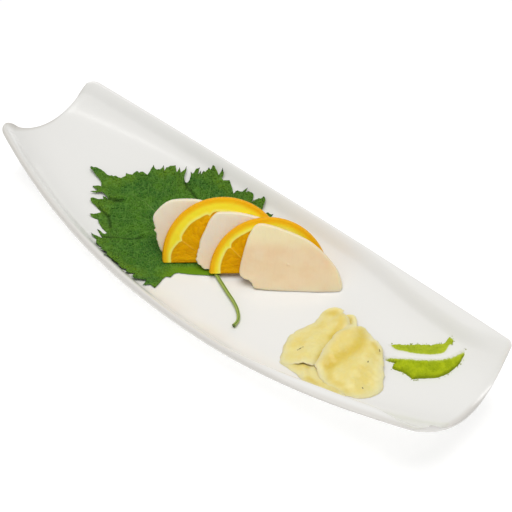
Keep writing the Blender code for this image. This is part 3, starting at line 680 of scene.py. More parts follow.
def stem_material():
    material, tree, shader, place = new_material("stem_green", 0.45, Subsurface_Weight=0.1,
                                                 Subsurface_Scale=0.001)
    fields = add(tree, "SeparateXYZ", None, Vector=mark(tree, "stem").outputs["Vector"])
    along, groove, _ = fields.outputs
    streak = noise(tree, stretched(tree, place, (1.0, 1.0, 3.0)), 500.0, 3.0)
    colour = mix(tree, streak, (0.26, 0.36, 0.055), (0.40, 0.48, 0.11))
    # painted shade: the stem is darker in its groove
    colour = mix(tree, between(tree, groove, 0.35, 0.9), colour, (0.11, 0.20, 0.02))
    colour = mix(tree, between(tree, along, 0.965, 1.0), colour, (0.07, 0.11, 0.015))
    finish_material(tree, shader, colour, bump(tree, streak, 0.0002, 0.4))
    return material


def fish_material():
    """Moist pale flesh, warmer low down and whiter along its upper edge."""
    material, tree, shader, place = new_material(
        "white_fish", 0.36, Subsurface_Weight=0.45, Subsurface_Scale=0.003,
        Subsurface_Radius=(1.0, 0.62, 0.38), Coat_Weight=0.1, Coat_Roughness=0.25)
    shader.inputs["Specular IOR Level"].default_value = 0.3
    where = mark(tree, "slice_place").outputs["Vector"]
    across, up, number = split(tree, mark(tree, "slice_place"))
    rim = mark(tree, "rim").outputs["Fac"]
    cloud = noise(tree, stretched(tree, where, (0.7, 0.9, 1.0)), 1.0, 3.0, 0.55)
    fibre = noise(tree, stretched(tree, where, (11.0, 1.4, 4.0)), 1.0, 3.0, 0.6)
    colour = mix(tree, between(tree, cloud, 0.38, 0.66), FISH_PALE, FISH_WARM)
    colour = mix(tree, between(tree, up, 2.3, 3.4, 0.0, 0.9), colour, FISH_TOP)
    colour = mix(tree, between(tree, across, 3.6, 4.6, 0.0, 0.6), colour, FISH_TOP)
    # painted shade: the back and middle slices, which stand in shadow, get a greyer tint, weaker low down
    pale = maths(tree, 'MULTIPLY', between(tree, number, 115.0, 117.0, 0.7, 0.0), between(tree, up, 0.2, 2.4, 0.35, 1.0))
    colour = mix(tree, pale, colour, (0.85, 0.79, 0.69))
    colour = mix(tree, between(tree, fibre, 0.5, 0.8, 0.0, 0.12), colour, (0.70, 0.50, 0.30))
    colour = mix(tree, between(tree, rim, 0.3, 2.4, 0.4, 0.0), colour, FISH_RIM)
    normal = bump(tree, fibre, 0.0003, 0.2)
    finish_material(tree, shader, colour, normal, between(tree, cloud, 0.3, 0.7, 0.32, 0.46))
    return material


def orange_material():
    """Zest, pith and pulp told apart by the distances that the mesh carries."""
    material, tree, shader, place = new_material(
        "orange_slice", 0.4, Subsurface_Weight=0.25, Subsurface_Scale=0.002,
        Subsurface_Radius=(1.0, 0.5, 0.12))
    shader.inputs["Specular IOR Level"].default_value = 0.06
    peel, pith, membrane = split(tree, mark(tree, "zones"))
    sac, sac_edge, pulp_low_shade = split(tree, mark(tree, "pulp"))
    fine = noise(tree, place, 900.0, 2.0)
    soft = noise(tree, place, 120.0, 2.0)
    flesh = mix(tree, between(tree, sac, 0.1, 0.9), PULP_DEEP, PULP_BRIGHT)
    flesh = mix(tree, between(tree, sac_edge, 0.0, 0.2, 0.3, 0.0), flesh, (0.90, 0.50, 0.02))
    flesh = mix(tree, between(tree, membrane, 0.15, 0.6, 0.6, 0.0), flesh, (0.93, 0.56, 0.05))
    # painted shade: the pulp darkens towards the slice's lower edge
    flesh = mix(tree, maths(tree, 'MULTIPLY', pulp_low_shade, 0.45), flesh, (0.52, 0.24, 0.001))
    # painted highlights: small bright glints scattered over the pulp
    painted_glint = add(tree, "TexVoronoi", None, Vector=place, Scale=650.0).outputs["Distance"]
    flesh = mix(tree, between(tree, painted_glint, 0.06, 0.16, 0.5, 0.0), flesh, (0.98, 0.66, 0.06))
    rind = mix(tree, between(tree, pith, 0.0, 2.4), PITH_PALE, PITH_YELLOW)
    rind = mix(tree, between(tree, peel, 1.4, 4.2, 1.0, 0.0), rind, ZEST_AMBER)
    rind = mix(tree, between(tree, peel, 0.2, 1.0, 0.8, 0.0), rind, ZEST_EDGE)
    rind = mix(tree, maths(tree, 'MULTIPLY', soft, 0.2), rind, (0.99, 0.80, 0.06))
    colour = mix(tree, between(tree, pith, -0.45, 0.45), flesh, rind)
    pores = add(tree, "TexVoronoi", None, Vector=place, Scale=900.0).outputs["Distance"]
    pores = maths(tree, 'MULTIPLY', between(tree, pores, 0.1, 0.5), between(tree, peel, 0.3, 1.2, 1.0, 0.0))
    normal = bump(tree, pores, 0.0004, 0.5)
    normal = bump(tree, fine, 0.0002, 0.25, normal)
    finish_material(tree, shader, colour, normal, between(tree, pith, -0.3, 0.5, 0.28, 0.45))
    return material


def ginger_material():
    """Thin wet slices: pale where thin, deeper yellow in the folds, partly painted shade, with fine fibres."""
    material, tree, shader, place = new_material(
        "pickled_ginger", 0.34, Subsurface_Weight=0.5, Subsurface_Scale=0.003,
        Subsurface_Radius=(1.0, 0.8, 0.35), Coat_Weight=0.1, Coat_Roughness=0.2)
    shader.inputs["Specular IOR Level"].default_value = 0.3
    where = mark(tree, "ginger_place")
    _, _, deep = split(tree, where)
    rim = mark(tree, "rim").outputs["Fac"]
    cloud = noise(tree, place, 90.0, 3.0, 0.55)
    fibre = noise(tree, stretched(tree, where.outputs["Vector"], (16.0, 3.0, 0.0)), 1.0, 3.0, 0.6)
    colour = mix(tree, between(tree, cloud, 0.3, 0.7), GINGER_PALE, GINGER_YELLOW)
    # deeper yellow along the listed lines: partly the ginger's own tint, partly painted shade in folds and under
    # overlapping slices
    colour = mix(tree, between(tree, deep, 0.0, 1.0, 0.0, 0.85), colour, GINGER_GOLD)
    colour = mix(tree, between(tree, fibre, 0.5, 0.8, 0.0, 0.25), colour, GINGER_THIN)
    colour = mix(tree, between(tree, rim, 0.0, 6.0, 0.45, 0.0), colour, GINGER_THIN)
    normal = bump(tree, fibre, 0.0004, 0.3)
    finish_material(tree, shader, colour, normal, between(tree, cloud, 0.3, 0.7, 0.28, 0.42))
    return material


def wasabi_material():
    """Grainy paste: olive at its ragged margin, thinned to a pale smear at its soft one."""
    material, tree, shader, place = new_material("wasabi", 0.6)
    shader.inputs["Specular IOR Level"].default_value = 0.15
    density, from_outer, rise = split(tree, mark(tree, "paste"))
    grain = noise(tree, place, 1500.0, 4.0, 0.7)
    patch = noise(tree, place, 240.0, 2.0)
    colour = mix(tree, between(tree, patch, 0.3, 0.7), (0.34, 0.44, 0.002), (0.46, 0.56, 0.006))
    colour = mix(tree, between(tree, grain, 0.52, 0.8, 0.0, 0.6), colour, (0.52, 0.58, 0.03))
    colour = mix(tree, between(tree, grain, 0.2, 0.45, 0.5, 0.0), colour, (0.20, 0.28, 0.001))
    colour = mix(tree, between(tree, from_outer, 0.1, 0.9, 0.5, 0.0), colour, (0.15, 0.21, 0.004))
    thick = between(tree, maths(tree, 'ADD', density, maths(tree, 'MULTIPLY', grain, 0.25)), 0.25, 1.0)
    colour = mix(tree, between(tree, thick, 0.3, 1.0, 0.75, 0.0), colour, (0.55, 0.64, 0.08))
    colour = mix(tree, between(tree, thick, 0.0, 0.6, 1.0, 0.0), colour, (0.84, 0.84, 0.78))
    finish_material(tree, shader, colour, bump(tree, grain, 0.0004, 0.8))
    return material


def crumb_material():
    material, tree, shader, place = new_material("wasabi_crumb", 0.6)
    shader.inputs["Specular IOR Level"].default_value = 0.15
    grain = noise(tree, place, 1500.0, 3.0, 0.7)
    colour = mix(tree, between(tree, grain, 0.3, 0.7), (0.22, 0.29, 0.004), (0.42, 0.50, 0.02))
    finish_material(tree, shader, colour, bump(tree, grain, 0.0003, 0.6))
    return material


def speck_material():
    material, tree, shader, place = new_material("brown_speck", 0.6)
    colour = mix(tree, noise(tree, place, 900.0), (0.10, 0.055, 0.012), (0.26, 0.15, 0.03))
    finish_material(tree, shader, colour)
    return material


# ---------------------------------------------------------------- the plate

def plate_rows():
    """Loops round the plate's section, from one end to the other, and the edge distances."""
    round_steps = 1.0 - np.cos(np.linspace(0.0, 0.5 * math.pi, 12))
    end_steps = np.concatenate([END_ROUND * round_steps, np.arange(3.6, 14.0, 0.8)]) / HALF_LENGTH
    middle = np.linspace(1.0 - end_steps[-1], end_steps[-1] - 1.0, 130)[1:-1]
    stations = np.concatenate([1.0 - end_steps, middle, end_steps[::-1] - 1.0])
    rows = []
    edges = []
    for s in stations:
        width = float(half_width(s))
        rounding = float(lip_round(s))
        inward = (width - rounding) * np.linspace(0.0, 1.0, 48)[1:] ** 1.4
        from_edge = np.concatenate([rounding * round_steps, rounding + inward])
        y = np.concatenate([width - from_edge, from_edge[-2::-1] - width])
        from_edge = np.concatenate([from_edge, from_edge[-2::-1]])
        v = y / width
        end = HALF_LENGTH + END_BOW * (1.0 - v * v)
        to_end = (1.0 - abs(s)) * end
        high, low = inside_height(s, v), outside_height(s, v)
        lip_part = np.clip(1.0 - from_edge / rounding, 0.0, 1.0)
        end_part = np.clip(1.0 - to_end / END_ROUND, 0.0, 1.0)
        half = 0.5 * (high - low) * np.sqrt(1.0 - lip_part ** 2) * np.sqrt(1.0 - end_part ** 2)
        middle_height = 0.5 * (high + low)
        top = np.stack([s * end, y, middle_height + half], axis=1)
        under = np.stack([s * end, y, middle_height - half], axis=1)
        rows.append(np.vstack([top, under[::-1]]))
        # the far rim's distances grow so that it gets less of the painted edge shade
        edge = np.minimum(from_edge, to_end) + FAR_RIM_SHADE_SHIFT * smooth(2.0 * v)
        edges.append(np.concatenate([edge, edge[::-1]]))
    return np.array(rows), np.array(edges)


def foot_rows():
    """Loops round the foot ring, one for each point of its section."""
    angle = np.linspace(0.0, 2.0 * math.pi, 180, endpoint=False)
    power = 2.0 / FOOT_SQUARENESS
    x = FOOT_HALF_LENGTH * np.copysign(np.abs(np.cos(angle)) ** power, np.cos(angle))
    y = FOOT_HALF_WIDTH * np.copysign(np.abs(np.sin(angle)) ** power, np.sin(angle))
    line = even_points(np.stack([x, y], axis=1), 220)
    tangent = np.roll(line, -1, axis=0) - np.roll(line, 1, axis=0)
    inward = np.stack([-tangent[:, 1], tangent[:, 0]], axis=1)
    inward /= np.linalg.norm(inward, axis=1)[:, None]
    rows = []
    for offset, height in FOOT_SECTION + FOOT_SECTION[:1]:
        flat = line + inward * offset
        rows.append(np.column_stack([flat, np.full(len(flat), height)]))
    return np.array(rows)


def make_plate():
    rows, edges = plate_rows()
    plate = skin("plate_body", rows, {"from_edge": edges})
    foot = skin("plate_foot", foot_rows(), {"from_edge": np.full((len(FOOT_SECTION) + 1, 220), 9.0)}, 50.0)
    glaze = glaze_material()
    dress(plate, glaze, "white_glaze", "plate")
    dress(foot, glaze, "white_glaze", "plate")


# ---------------------------------------------------------------- the leaf

def leaf_outline():
    """The leaf's margin: smooth curves between its corners, faintly uneven."""
    corners = [index for index, point in enumerate(LEAF_MARGIN) if len(point) == 3]
    points = []
    for start, end in zip(corners, corners[1:] + [len(LEAF_MARGIN)]):
        stretch = [LEAF_MARGIN[index % len(LEAF_MARGIN)][:2] for index in range(start, end + 1)]
        length = np.linalg.norm(np.diff(np.array(stretch), axis=0), axis=1).sum()
        steps = max(3, int(length / 0.7))
        line = curve(stretch, np.linspace(0.0, len(stretch) - 1.0, steps, endpoint=False))
        middle = np.sin(math.pi * np.arange(steps) / steps)[:, None]
        line = line + 0.12 * middle * np.stack([bumps(line[:, 0] * 1.3, line[:, 1] * 1.3, 5),
                                                bumps(line[:, 0] * 1.3, line[:, 1] * 1.3, 6)], axis=1)
        points.append(line)
    return np.concatenate(points)


def leaf_veins(x, y):
    """Distances to the nearest side vein and to the midrib, and the smooth base's share."""
    rib = curve(LEAF_MIDRIB, np.linspace(0.0, len(LEAF_MIDRIB) - 1.0, 80))
    rib_y = np.interp(-x, -rib[:, 0], rib[:, 1])
    across = np.abs(y - rib_y)
    phase = (x + 0.72 * across + 0.0035 * across ** 2 + np.where(y > rib_y, 0.0, 4.0)) / VEIN_SPACING
    phase = phase + 0.05 * bumps(x / 9.0, y / 9.0, 11)
    side = np.abs(phase - np.round(phase)) * VEIN_SPACING * 0.8
    base_line, _ = off_line(x, y, [(2, -11.5), (-8, -18), (-14, -24.5), (-20, -30), (-25, -34)])
    base = smooth((7.0 - np.abs(base_line)) / 3.0) * smooth((x + 29.0) / 17.0)
    return side, across, base


def leaf_shape(x, y, rim):
    """Heights of the leaf's two sides: calm under the slices, wavy and puckered round them."""
    along = (x + y) / math.sqrt(2.0)
    toward = (x - y) / math.sqrt(2.0)
    clear = np.maximum(smooth((-43.0 - along) / 14.0), smooth((-20.0 - toward) / 12.0))
    spread = np.hypot((x + 56.0) / 60.0, y / 50.0)
    wave = 0.5 + 0.5 * np.sin(x * 0.11 + 1.0) * np.sin(y * 0.13)
    settled = 0.2 + 0.8 * smooth((y + 22.0) / 22.0)
    height = resting_height(x, y) + REST_GAP + 0.1 + 1.6 * settled * wave * clear * smooth(2.0 * spread - 1.0)
    side, rib, base = leaf_veins(x, y)
    near, second, _ = cells(x / 2.7, y / 2.7, 23)
    quilt = smooth((second - near) / 0.5)
    puff = (1.0 - np.exp(-(side / 1.8) ** 2)) * (1.0 - np.exp(-(rib / 2.4) ** 2)) * (1.0 - base)
    pucker = puff * (0.9 + 0.55 * quilt) + 0.45 * rough(x / 3.1, y / 3.1, 21, 3)
    ripple = 0.5 + 1.1 * bumps(x / 5.0, y / 5.0, 31) + 0.6 * bumps(x / 2.2, y / 2.2, 33)
    curl = smooth(1.0 - rim / 5.0) * settled * ripple
    fold = np.zeros(len(x))
    # the creases' valleys, kept as a mark for the painted shade along them
    painted_crease_shade = np.zeros(len(x))
    for line, depth, step in LEAF_CREASES:
        offset, part = off_line(x, y, line)
        fade = smooth(6.0 - 6.0 * part)
        valley = np.exp(-(offset / 1.1) ** 2) * fade
        painted_crease_shade = np.maximum(painted_crease_shade, valley)
        fold = fold - depth * valley + step * smooth(0.5 + offset / 1.6) * np.exp(-np.abs(offset) / 9.0) * fade
    tips = np.array([point[:2] for point in LEAF_MARGIN if point[2:] == (1,)])
    tip_distance = np.min(np.hypot(x[:, None] - tips[None, :, 0], y[:, None] - tips[None, :, 1]), axis=1)
    height = height + clear * (pucker + curl + fold) + (1.0 - clear) * 0.35 * puff
    half = 0.5 * LEAF_THICKNESS * np.sqrt(np.clip(rim / 0.6, 0.0, 1.0))
    height = np.maximum(height, resting_height(x, y) + 0.3 + half)
    veins = np.stack([side, rib + 0.5 * smooth((-60.0 - x) / 40.0), base], axis=1)
    shade = np.stack([painted_crease_shade, tip_distance, rim], axis=1)
    return height + half, height - half, {"veins": veins, "shade": shade}


def make_leaf():
    leaf = sheet("leaf_blade", leaf_outline(), LEAF_GRAIN, leaf_shape)
    dress(leaf, leaf_material(), "leaf_green", "perilla_leaf")


def make_stem():
    count = 70
    position = np.linspace(0.0, len(STEM_PATH) - 1.0, count)
    line = curve(STEM_PATH, position)
    tangent = np.gradient(line, axis=0)
    tangent /= np.linalg.norm(tangent, axis=1)[:, None]
    share = np.linspace(0.0, 1.0, count)
    radius = STEM_RADIUS * (0.92 - 0.18 * share + 0.16 * smooth((share - 0.9) / 0.1))
    radius = radius * np.sqrt(np.clip(1.0 - np.clip((share - 0.99) / 0.0101, 0.0, 1.0) ** 2, 0.0, 1.0))
    radius[0] = 0.0
    angle = np.linspace(0.0, 2.0 * math.pi, 28, endpoint=False)
    groove = np.exp(-((angle - 1.9) / 0.45) ** 2)
    wide = np.cos(angle)[None, :] * radius[:, None] * (1.0 - 0.22 * groove)
    tall = np.sin(angle)[None, :] * radius[:, None] * (1.0 - 0.22 * groove)
    x = line[:, :1] + tangent[:, 1:] * wide
    y = line[:, 1:] - tangent[:, :1] * wide
    floor = resting_height(line[:, 0], line[:, 1])[:, None] + REST_GAP
    z = floor + radius[:, None] + tall + 0.25 * bumps(position[:, None] * 1.5, 0.0 * tall, 8)
    marks = np.stack([np.broadcast_to(share[:, None], x.shape), np.broadcast_to(groove, x.shape), 0.0 * x],
                     axis=-1)
    stem = skin("leaf_stem", np.stack([x, y, z], axis=-1), {"stem": marks})
    dress(stem, stem_material(), "leaf_green", "perilla_leaf")


# ---------------------------------------------------------------- fish and orange slices

def slice_points(name, u, v, depth, rest):
    """Points of a leaning slice: u along its foot, v up its face, depth behind its face."""
    foot, turn, lean, _ = SLICE_STANCE[name]
    turn = math.radians(turn)
    lean = math.radians(lean)
    along = np.array([math.cos(turn), math.sin(turn), 0.0])
    front = np.array([math.sin(turn), -math.cos(turn), 0.0])
    normal = front * math.sin(lean) + np.array([0.0, 0.0, math.cos(lean)])
    upward = np.array([0.0, 0.0, math.sin(lean)]) - front * math.cos(lean)
    start = np.array([foot[0], foot[1], float(resting_height(foot[0], foot[1])) + rest])
    points = start + u[..., None] * along + v[..., None] * upward - depth[..., None] * normal
    floor = resting_height(points[..., 0], points[..., 1]) + rest
    points[..., 2] = np.maximum(points[..., 2], floor)
    return points


def slice_profile(thickness, edge_radius, rings, rim_rings, spread=1.0):
    """Rings from the middle of the front face over the edge to the middle of the back: the
    share of the way out, the distance in from the outline and the depth."""
    inner = np.linspace(0.0, 1.0, rings)
    turn = np.linspace(0.0, math.pi, rim_rings)
    share = np.concatenate([inner, np.ones(rim_rings), inner[::-1]])
    inset = edge_radius * (1.0 - np.sin(turn))
    inset = np.concatenate([np.full(rings, edge_radius), inset, np.full(rings, edge_radius)])
    depth = 0.5 * thickness * (1.0 - np.cos(turn))
    depth = np.concatenate([np.zeros(rings), depth, np.full(rings, thickness)])
    return share, inset, depth, 1.0 + (spread - 1.0) * depth / thickness


def rounded_polygon(corners, radius, count):
    corners = np.asarray(corners, float)
    outline = []
    for index, corner in enumerate(corners):
        before = corners[index - 1] - corner
        after = corners[(index + 1) % len(corners)] - corner
        start = corner + before * min(radius / np.linalg.norm(before), 0.45)
        end = corner + after * min(radius / np.linalg.norm(after), 0.45)
        for part in np.linspace(0.0, 1.0, 9):
            outline.append((1 - part) ** 2 * start + 2 * part * (1 - part) * corner + part ** 2 * end)
    return even_points(outline, count)


def spread_slice(outline, middle, share, inset, scale):
    """The outline's points drawn in to each ring: u, v and the distance from the outline."""
    reach = outline - middle
    length = np.linalg.norm(reach, axis=1)
    out = share[:, None] * (1.0 - inset[:, None] / length[None, :]) * scale[:, None]
    u = middle[0] + reach[None, :, 0] * out
    v = middle[1] + reach[None, :, 1] * out
    return u, v, (1.0 - out) * length[None, :]


def make_fish(name, rest, seed, material):
    thickness = SLICE_STANCE[name][3]
    corners = FISH_OUTLINES[name]
    outline = even_points(curve(corners, np.linspace(0.0, len(corners), 400, endpoint=False), True), 320)
    middle = outline.mean(axis=0)
    ragged = rough(outline[:, 0] / 5.0, outline[:, 1] / 5.0, seed, 2)
    frill = smooth((2.0 - outline[:, 0]) / 7.0) * smooth((FRILL_TOP[name] - outline[:, 1]) / 8.0)
    teeth = bumps(outline[:, 0] / 1.4, outline[:, 1] / 1.4, seed + 1)
    pull = 0.12 * (1.0 + ragged) + frill * (0.35 + 0.6 * teeth)
    reach = outline - middle
    outline = outline - reach / np.linalg.norm(reach, axis=1)[:, None] * pull[:, None]
    share, inset, depth, scale = slice_profile(thickness, 0.9, 34, 12)
    u, v, rim = spread_slice(outline, middle, share, inset, scale)
    front = (share * (depth < 0.5 * thickness))[:, None]
    sag = 0.25 * smooth((rim - 0.5) / 7.0) + 0.22 * rough(u / 11.0, v / 11.0, seed + 9, 2)
    relief = np.where(front > 0, 0.2 + sag + 0.03 * bumps(u * 1.1, v * 0.14, seed + 7), 0.0)
    deep = depth[:, None] + np.clip(relief, 0.0, 1.0) * (1.0 - depth[:, None] / thickness)
    points = slice_points(name, u, v, deep, rest)
    fish = skin(name.replace("slice", "cut"), points,
                {"slice_place": np.stack([u / 10.0, v / 10.0, deep / 10.0 + seed], axis=-1),
                 "rim": rim + 4.0 * (depth[:, None] > 0.9 * thickness)})
    dress(fish, material, "white_fish", name)


def orange_fields(name, u, v):
    """Distances in mm on an orange's face: from the peel, out of the pulp and to the nearest
    membrane, and the juice sacs' numbers and edges."""
    centre, radius, core, first, step, rind_low, rind_top = ORANGES[name]
    from_centre = np.hypot(u - centre[0], v - centre[1])
    angle = np.degrees(np.arctan2(v - core[1], u - core[0]))
    from_core = np.hypot(u - core[0], v - core[1])
    phase = (angle - first) / step
    nearest = np.abs(phase - np.round(phase)) * step
    membrane = np.sin(np.radians(np.minimum(nearest, 89.0))) * from_core
    side = np.mod(np.degrees(np.arctan2(v - centre[1], u - centre[0])), 360.0)
    rind = rind_low + (rind_top - rind_low) * smooth((178.0 - side) / 22.0)
    rind = rind + 1.3 * np.exp(-(membrane / 1.2) ** 2) + 0.25 * bumps(side / 7.0, 0.0 * side, 3)
    pith = np.maximum(from_centre - (radius - rind), 1.8 - from_core)
    membrane = membrane + 0.5 * smooth((14.0 - from_core) / 8.0)
    around = np.radians(angle) * 16.0 + 4.0 * bumps(from_core / 9.0, angle / 20.0, 41)
    near, second, number = cells(around / 1.2, from_core / 3.6, 17)
    return radius - from_centre, pith, membrane, number, second - near


def make_orange(name, rest, material):
    centre, radius = ORANGES[name][:2]
    thickness = SLICE_STANCE[name][3]
    start = -math.asin(centre[1] / radius)
    angle = np.linspace(start, math.pi - start, 400)
    arc = np.stack([centre[0] + radius * np.cos(angle), centre[1] + radius * np.sin(angle)], axis=1)
    outline = even_points(arc, 300)
    middle = outline.mean(axis=0)
    share, inset, depth, scale = slice_profile(thickness, 0.9, 70, 14, RIND_SPREAD)
    u, v, _ = spread_slice(outline, middle, share, inset, scale)
    flat_u = centre[0] + (u - centre[0]) / scale[:, None]
    flat_v = centre[1] + (v - centre[1]) / scale[:, None]
    peel, pith, membrane, number, sac_edge = orange_fields(name, flat_u, flat_v)
    pulp = smooth((0.3 - pith) / 0.7)
    sac = np.sqrt(np.clip(sac_edge / 0.55, 0.0, 1.0))
    sink = pulp * (0.50 - 0.22 * sac - 0.10 * number - 0.30 * np.exp(-(membrane / 0.35) ** 2))
    sink = sink + (1.0 - pulp) * 0.08 * (1.0 + rough(u / 3.0, v / 3.0, 51, 2))
    front = np.clip(1.0 - depth / (0.3 * thickness), 0.0, 1.0)[:, None]
    back = np.clip(depth / (0.7 * thickness) - 1.0, 0.0, 0.42)[:, None] / 0.42
    deep = depth[:, None] + np.clip(sink, 0.0, 1.0) * (front - back)
    rim_band = (np.sin(np.pi * depth / thickness) > 0.3)[:, None] & (peel < 2.0)
    pits, _, _ = cells(np.degrees(np.arctan2(flat_v - centre[1], flat_u - centre[0])) / 2.6,
                       deep / 1.5 + 0.0 * u, 61)
    dent = np.where(rim_band, 0.10 * smooth(1.0 - pits / 0.45), 0.0)
    u = u - (u - centre[0]) / radius * dent
    v = v - (v - centre[1]) / radius * dent
    edge_peel = np.where((depth[:, None] > 0.2) & (depth[:, None] < thickness - 0.2), np.minimum(peel, 0.3 + peel * 0.4), peel)
    # how much painted shade the pulp gets near its lower edge
    pulp_low_shade = smooth((2.6 - flat_v) / 2.4) * pulp
    piece = skin(name.replace("slice", "half"), slice_points(name, u, v, deep, rest),
                 {"zones": np.stack([edge_peel, pith, membrane], axis=-1),
                  "pulp": np.stack([number, sac_edge, pulp_low_shade], axis=-1)})
    dress(piece, material, "orange_slice", name)


def make_slices():
    fish = fish_material()
    orange = orange_material()
    make_fish("fish_slice_back", ON_LEAF, 101, fish)
    make_fish("fish_slice_middle", ON_LEAF, 111, fish)
    make_fish("fish_slice_front", REST_GAP, 121, fish)
    make_orange("orange_slice_back", ON_LEAF, orange)
    make_orange("orange_slice_front", ON_STEM, orange)


# ---------------------------------------------------------------- ginger

def line_sum(x, y, lines):
    """Sum of soft bands along lines, each with its half width and strength."""
    total = np.zeros(np.shape(x))
    for line, width, strength in lines:
        path = curve(line, np.linspace(0.0, len(line) - 1.0, 8 * len(line)))
        offset, _ = off_line(x, y, path)
        total = total + strength * np.exp(-(offset / width) ** 2)
    return total


def ginger_outline(name):
    margin = GINGER_MARGINS[name]
    edge = curve(margin, np.linspace(0.0, len(margin), 500, endpoint=False), closed=True)
    edge = even_points(edge, 260)
    return edge + 0.5 * np.stack([rough(edge[:, 0] / 3.6, edge[:, 1] / 3.6, 81, 3),
                                  rough(edge[:, 0] / 3.6, edge[:, 1] / 3.6, 85, 3)], axis=1)


def ginger_underside(name, x, y):
    """Height of a ginger slice's underside above the plate. The upper slices lie on the lower."""
    folds = line_sum(x, y, GINGER_FOLDS[name]) + 0.3 * rough(x / 5.0, y / 5.0, 73, 3)
    if name == "ginger_under":
        return GINGER_LIFT + np.maximum(folds, 0.0)
    if name == "ginger_lobe":
        return 0.9 + np.maximum(folds, -0.7) + 0.6 * smooth((y - 8.0) / 8.0)
    if name == "ginger_left":
        over_under = -0.6 * smooth((x - 83.0) / 8.0) * smooth((-18.0 - y) / 8.0)
        over_lobe = 1.5 * smooth((x - 78.0) / 5.0) * smooth((y - 1.0) / 7.0)
        return GINGER_LIFT + np.maximum(folds, 0.0) + np.maximum(over_under, over_lobe)
    spread = np.hypot((x - 102.0) / 36.0, (y + 9.0) / 32.0)
    dome = GINGER_LIFT + 4.6 * smooth((1.02 - spread) / 0.8) + folds * smooth((1.1 - spread) / 0.4)
    inside = np.hypot((x - 88.0) / 14.0, (y + 8.0) / 30.0)
    below = ginger_underside("ginger_left", x, y) + GINGER_THICKNESS
    return np.maximum(np.maximum(dome, GINGER_LIFT), (below + 0.1) * smooth((1.3 - inside) / 0.5))


def ginger_top(name, x, y, rim):
    taper = 0.12 + 0.88 * np.sqrt(1.0 - np.clip(1.0 - rim / 6.0, 0.0, 1.0) ** 2)
    return resting_height(x, y) + ginger_underside(name, x, y) + GINGER_THICKNESS * taper


def make_ginger(name, material):
    def shape(x, y, rim):
        top = ginger_top(name, x, y, rim)
        under = resting_height(x, y) + ginger_underside(name, x, y)
        deep = np.clip(line_sum(x, y, GINGER_TINT_AND_SHADE[name]), 0.0, 1.0)
        return top, under, {"ginger_place": np.stack([x / 10.0, y / 10.0, deep], axis=1), "rim": rim}

    piece = sheet(name.replace("ginger", "ginger_slice"), ginger_outline(name), 0.7, shape)
    dress(piece, material, "pickled_ginger", name)


def grains(name, spots, material, slot, seed):
    """Small uneven lumps joined in one mesh. Each spot is x, y, z, length, width, height and turn."""
    chance = np.random.default_rng(seed)
    work = bmesh.new()
    for x, y, z, length, width, height, turn in spots:
        lump = bmesh.ops.create_icosphere(work, subdivisions=2, radius=0.5)["verts"]
        cosine, sine = math.cos(turn), math.sin(turn)
        for point in lump:
            push = 1.0 + 0.25 * chance.uniform(-1.0, 1.0)
            along, across = point.co.x * length * push, point.co.y * width * push
            point.co = Vector((x + along * cosine - across * sine, y + along * sine + across * cosine,
                               z + point.co.z * height * push)) * MM
    mesh = bpy.data.meshes.new(name)
    work.to_mesh(mesh)
    work.free()
    mesh.shade_smooth()
    piece = bpy.data.objects.new(name, mesh)
    bpy.context.scene.collection.objects.link(piece)
    dress(piece, material, slot)


def make_flecks():
    spots = []
    for name, x, y, length, width, turn in GINGER_FLECKS:
        place = np.array([x]), np.array([y])
        height = float(ginger_top(name, *place, np.array([5.0]))[0])
        spots.append((x, y, height, 1.3 * length, 1.3 * width, 0.22, math.radians(turn)))
    grains("ginger_flecks", spots, speck_material(), "pickled_ginger", 401)


# ---------------------------------------------------------------- wasabi

def make_wasabi(node, material):
    outer, inner, height = WASABI[node]
    ragged = even_line(curve(outer, np.linspace(0.0, len(outer) - 1.0, 400)), 0.28)
    jitter = 0.2 * np.stack([rough(ragged[:, 0] / 0.8, ragged[:, 1] / 0.8, 91, 2),
                              rough(ragged[:, 0] / 0.8, ragged[:, 1] / 0.8, 95, 2)], axis=1)
    ragged = ragged + jitter * np.sin(math.pi * np.linspace(0.0, 1.0, len(ragged)))[:, None] ** 0.3
    soft = even_line(curve(inner, np.linspace(0.0, len(inner) - 1.0, 400)), 0.35)
    outline = np.vstack([ragged[:-1], soft[:-1]])

    def shape(x, y, rim):
        from_outer = np.abs(off_line(x, y, ragged)[0])
        from_inner = np.abs(off_line(x, y, soft)[0])
        share = np.clip(from_outer / 1.1, 0.0, 1.0) ** 0.6 * smooth(from_inner / 5.0)
        grain = 0.5 * rough(x / 0.8, y / 0.8, 97, 3) + 0.35 * rough(x / 3.0, y / 3.0, 99, 2)
        rise = np.maximum(height * share + grain * np.clip(share * 2.0, 0.0, 1.0), 0.02)
        density = np.clip((from_inner - 0.2) / 7.0, 0.0, 1.0)
        if node == "wasabi_far":
            density = np.clip((from_inner - 0.2) / 2.2, 0.0, 0.62) * smooth((x - 109.0) / 9.0)
        marks = np.stack([density, from_outer, rise], axis=1)
        base = resting_height(x, y) + 0.01
        return base + 0.01 + rise, base, {"paste": marks}

    piece = sheet(node.replace("wasabi", "wasabi_ridge"), outline, 0.36, shape)
    dress(piece, material, "wasabi", node)


def even_line(line, spacing):
    """Points evenly spaced along an open line."""
    lengths = np.concatenate([[0.0], np.cumsum(np.linalg.norm(np.diff(line, axis=0), axis=1))])
    targets = np.linspace(0.0, lengths[-1], int(lengths[-1] / spacing) + 2)
    return np.stack([np.interp(targets, lengths, line[:, axis]) for axis in (0, 1)], axis=1)


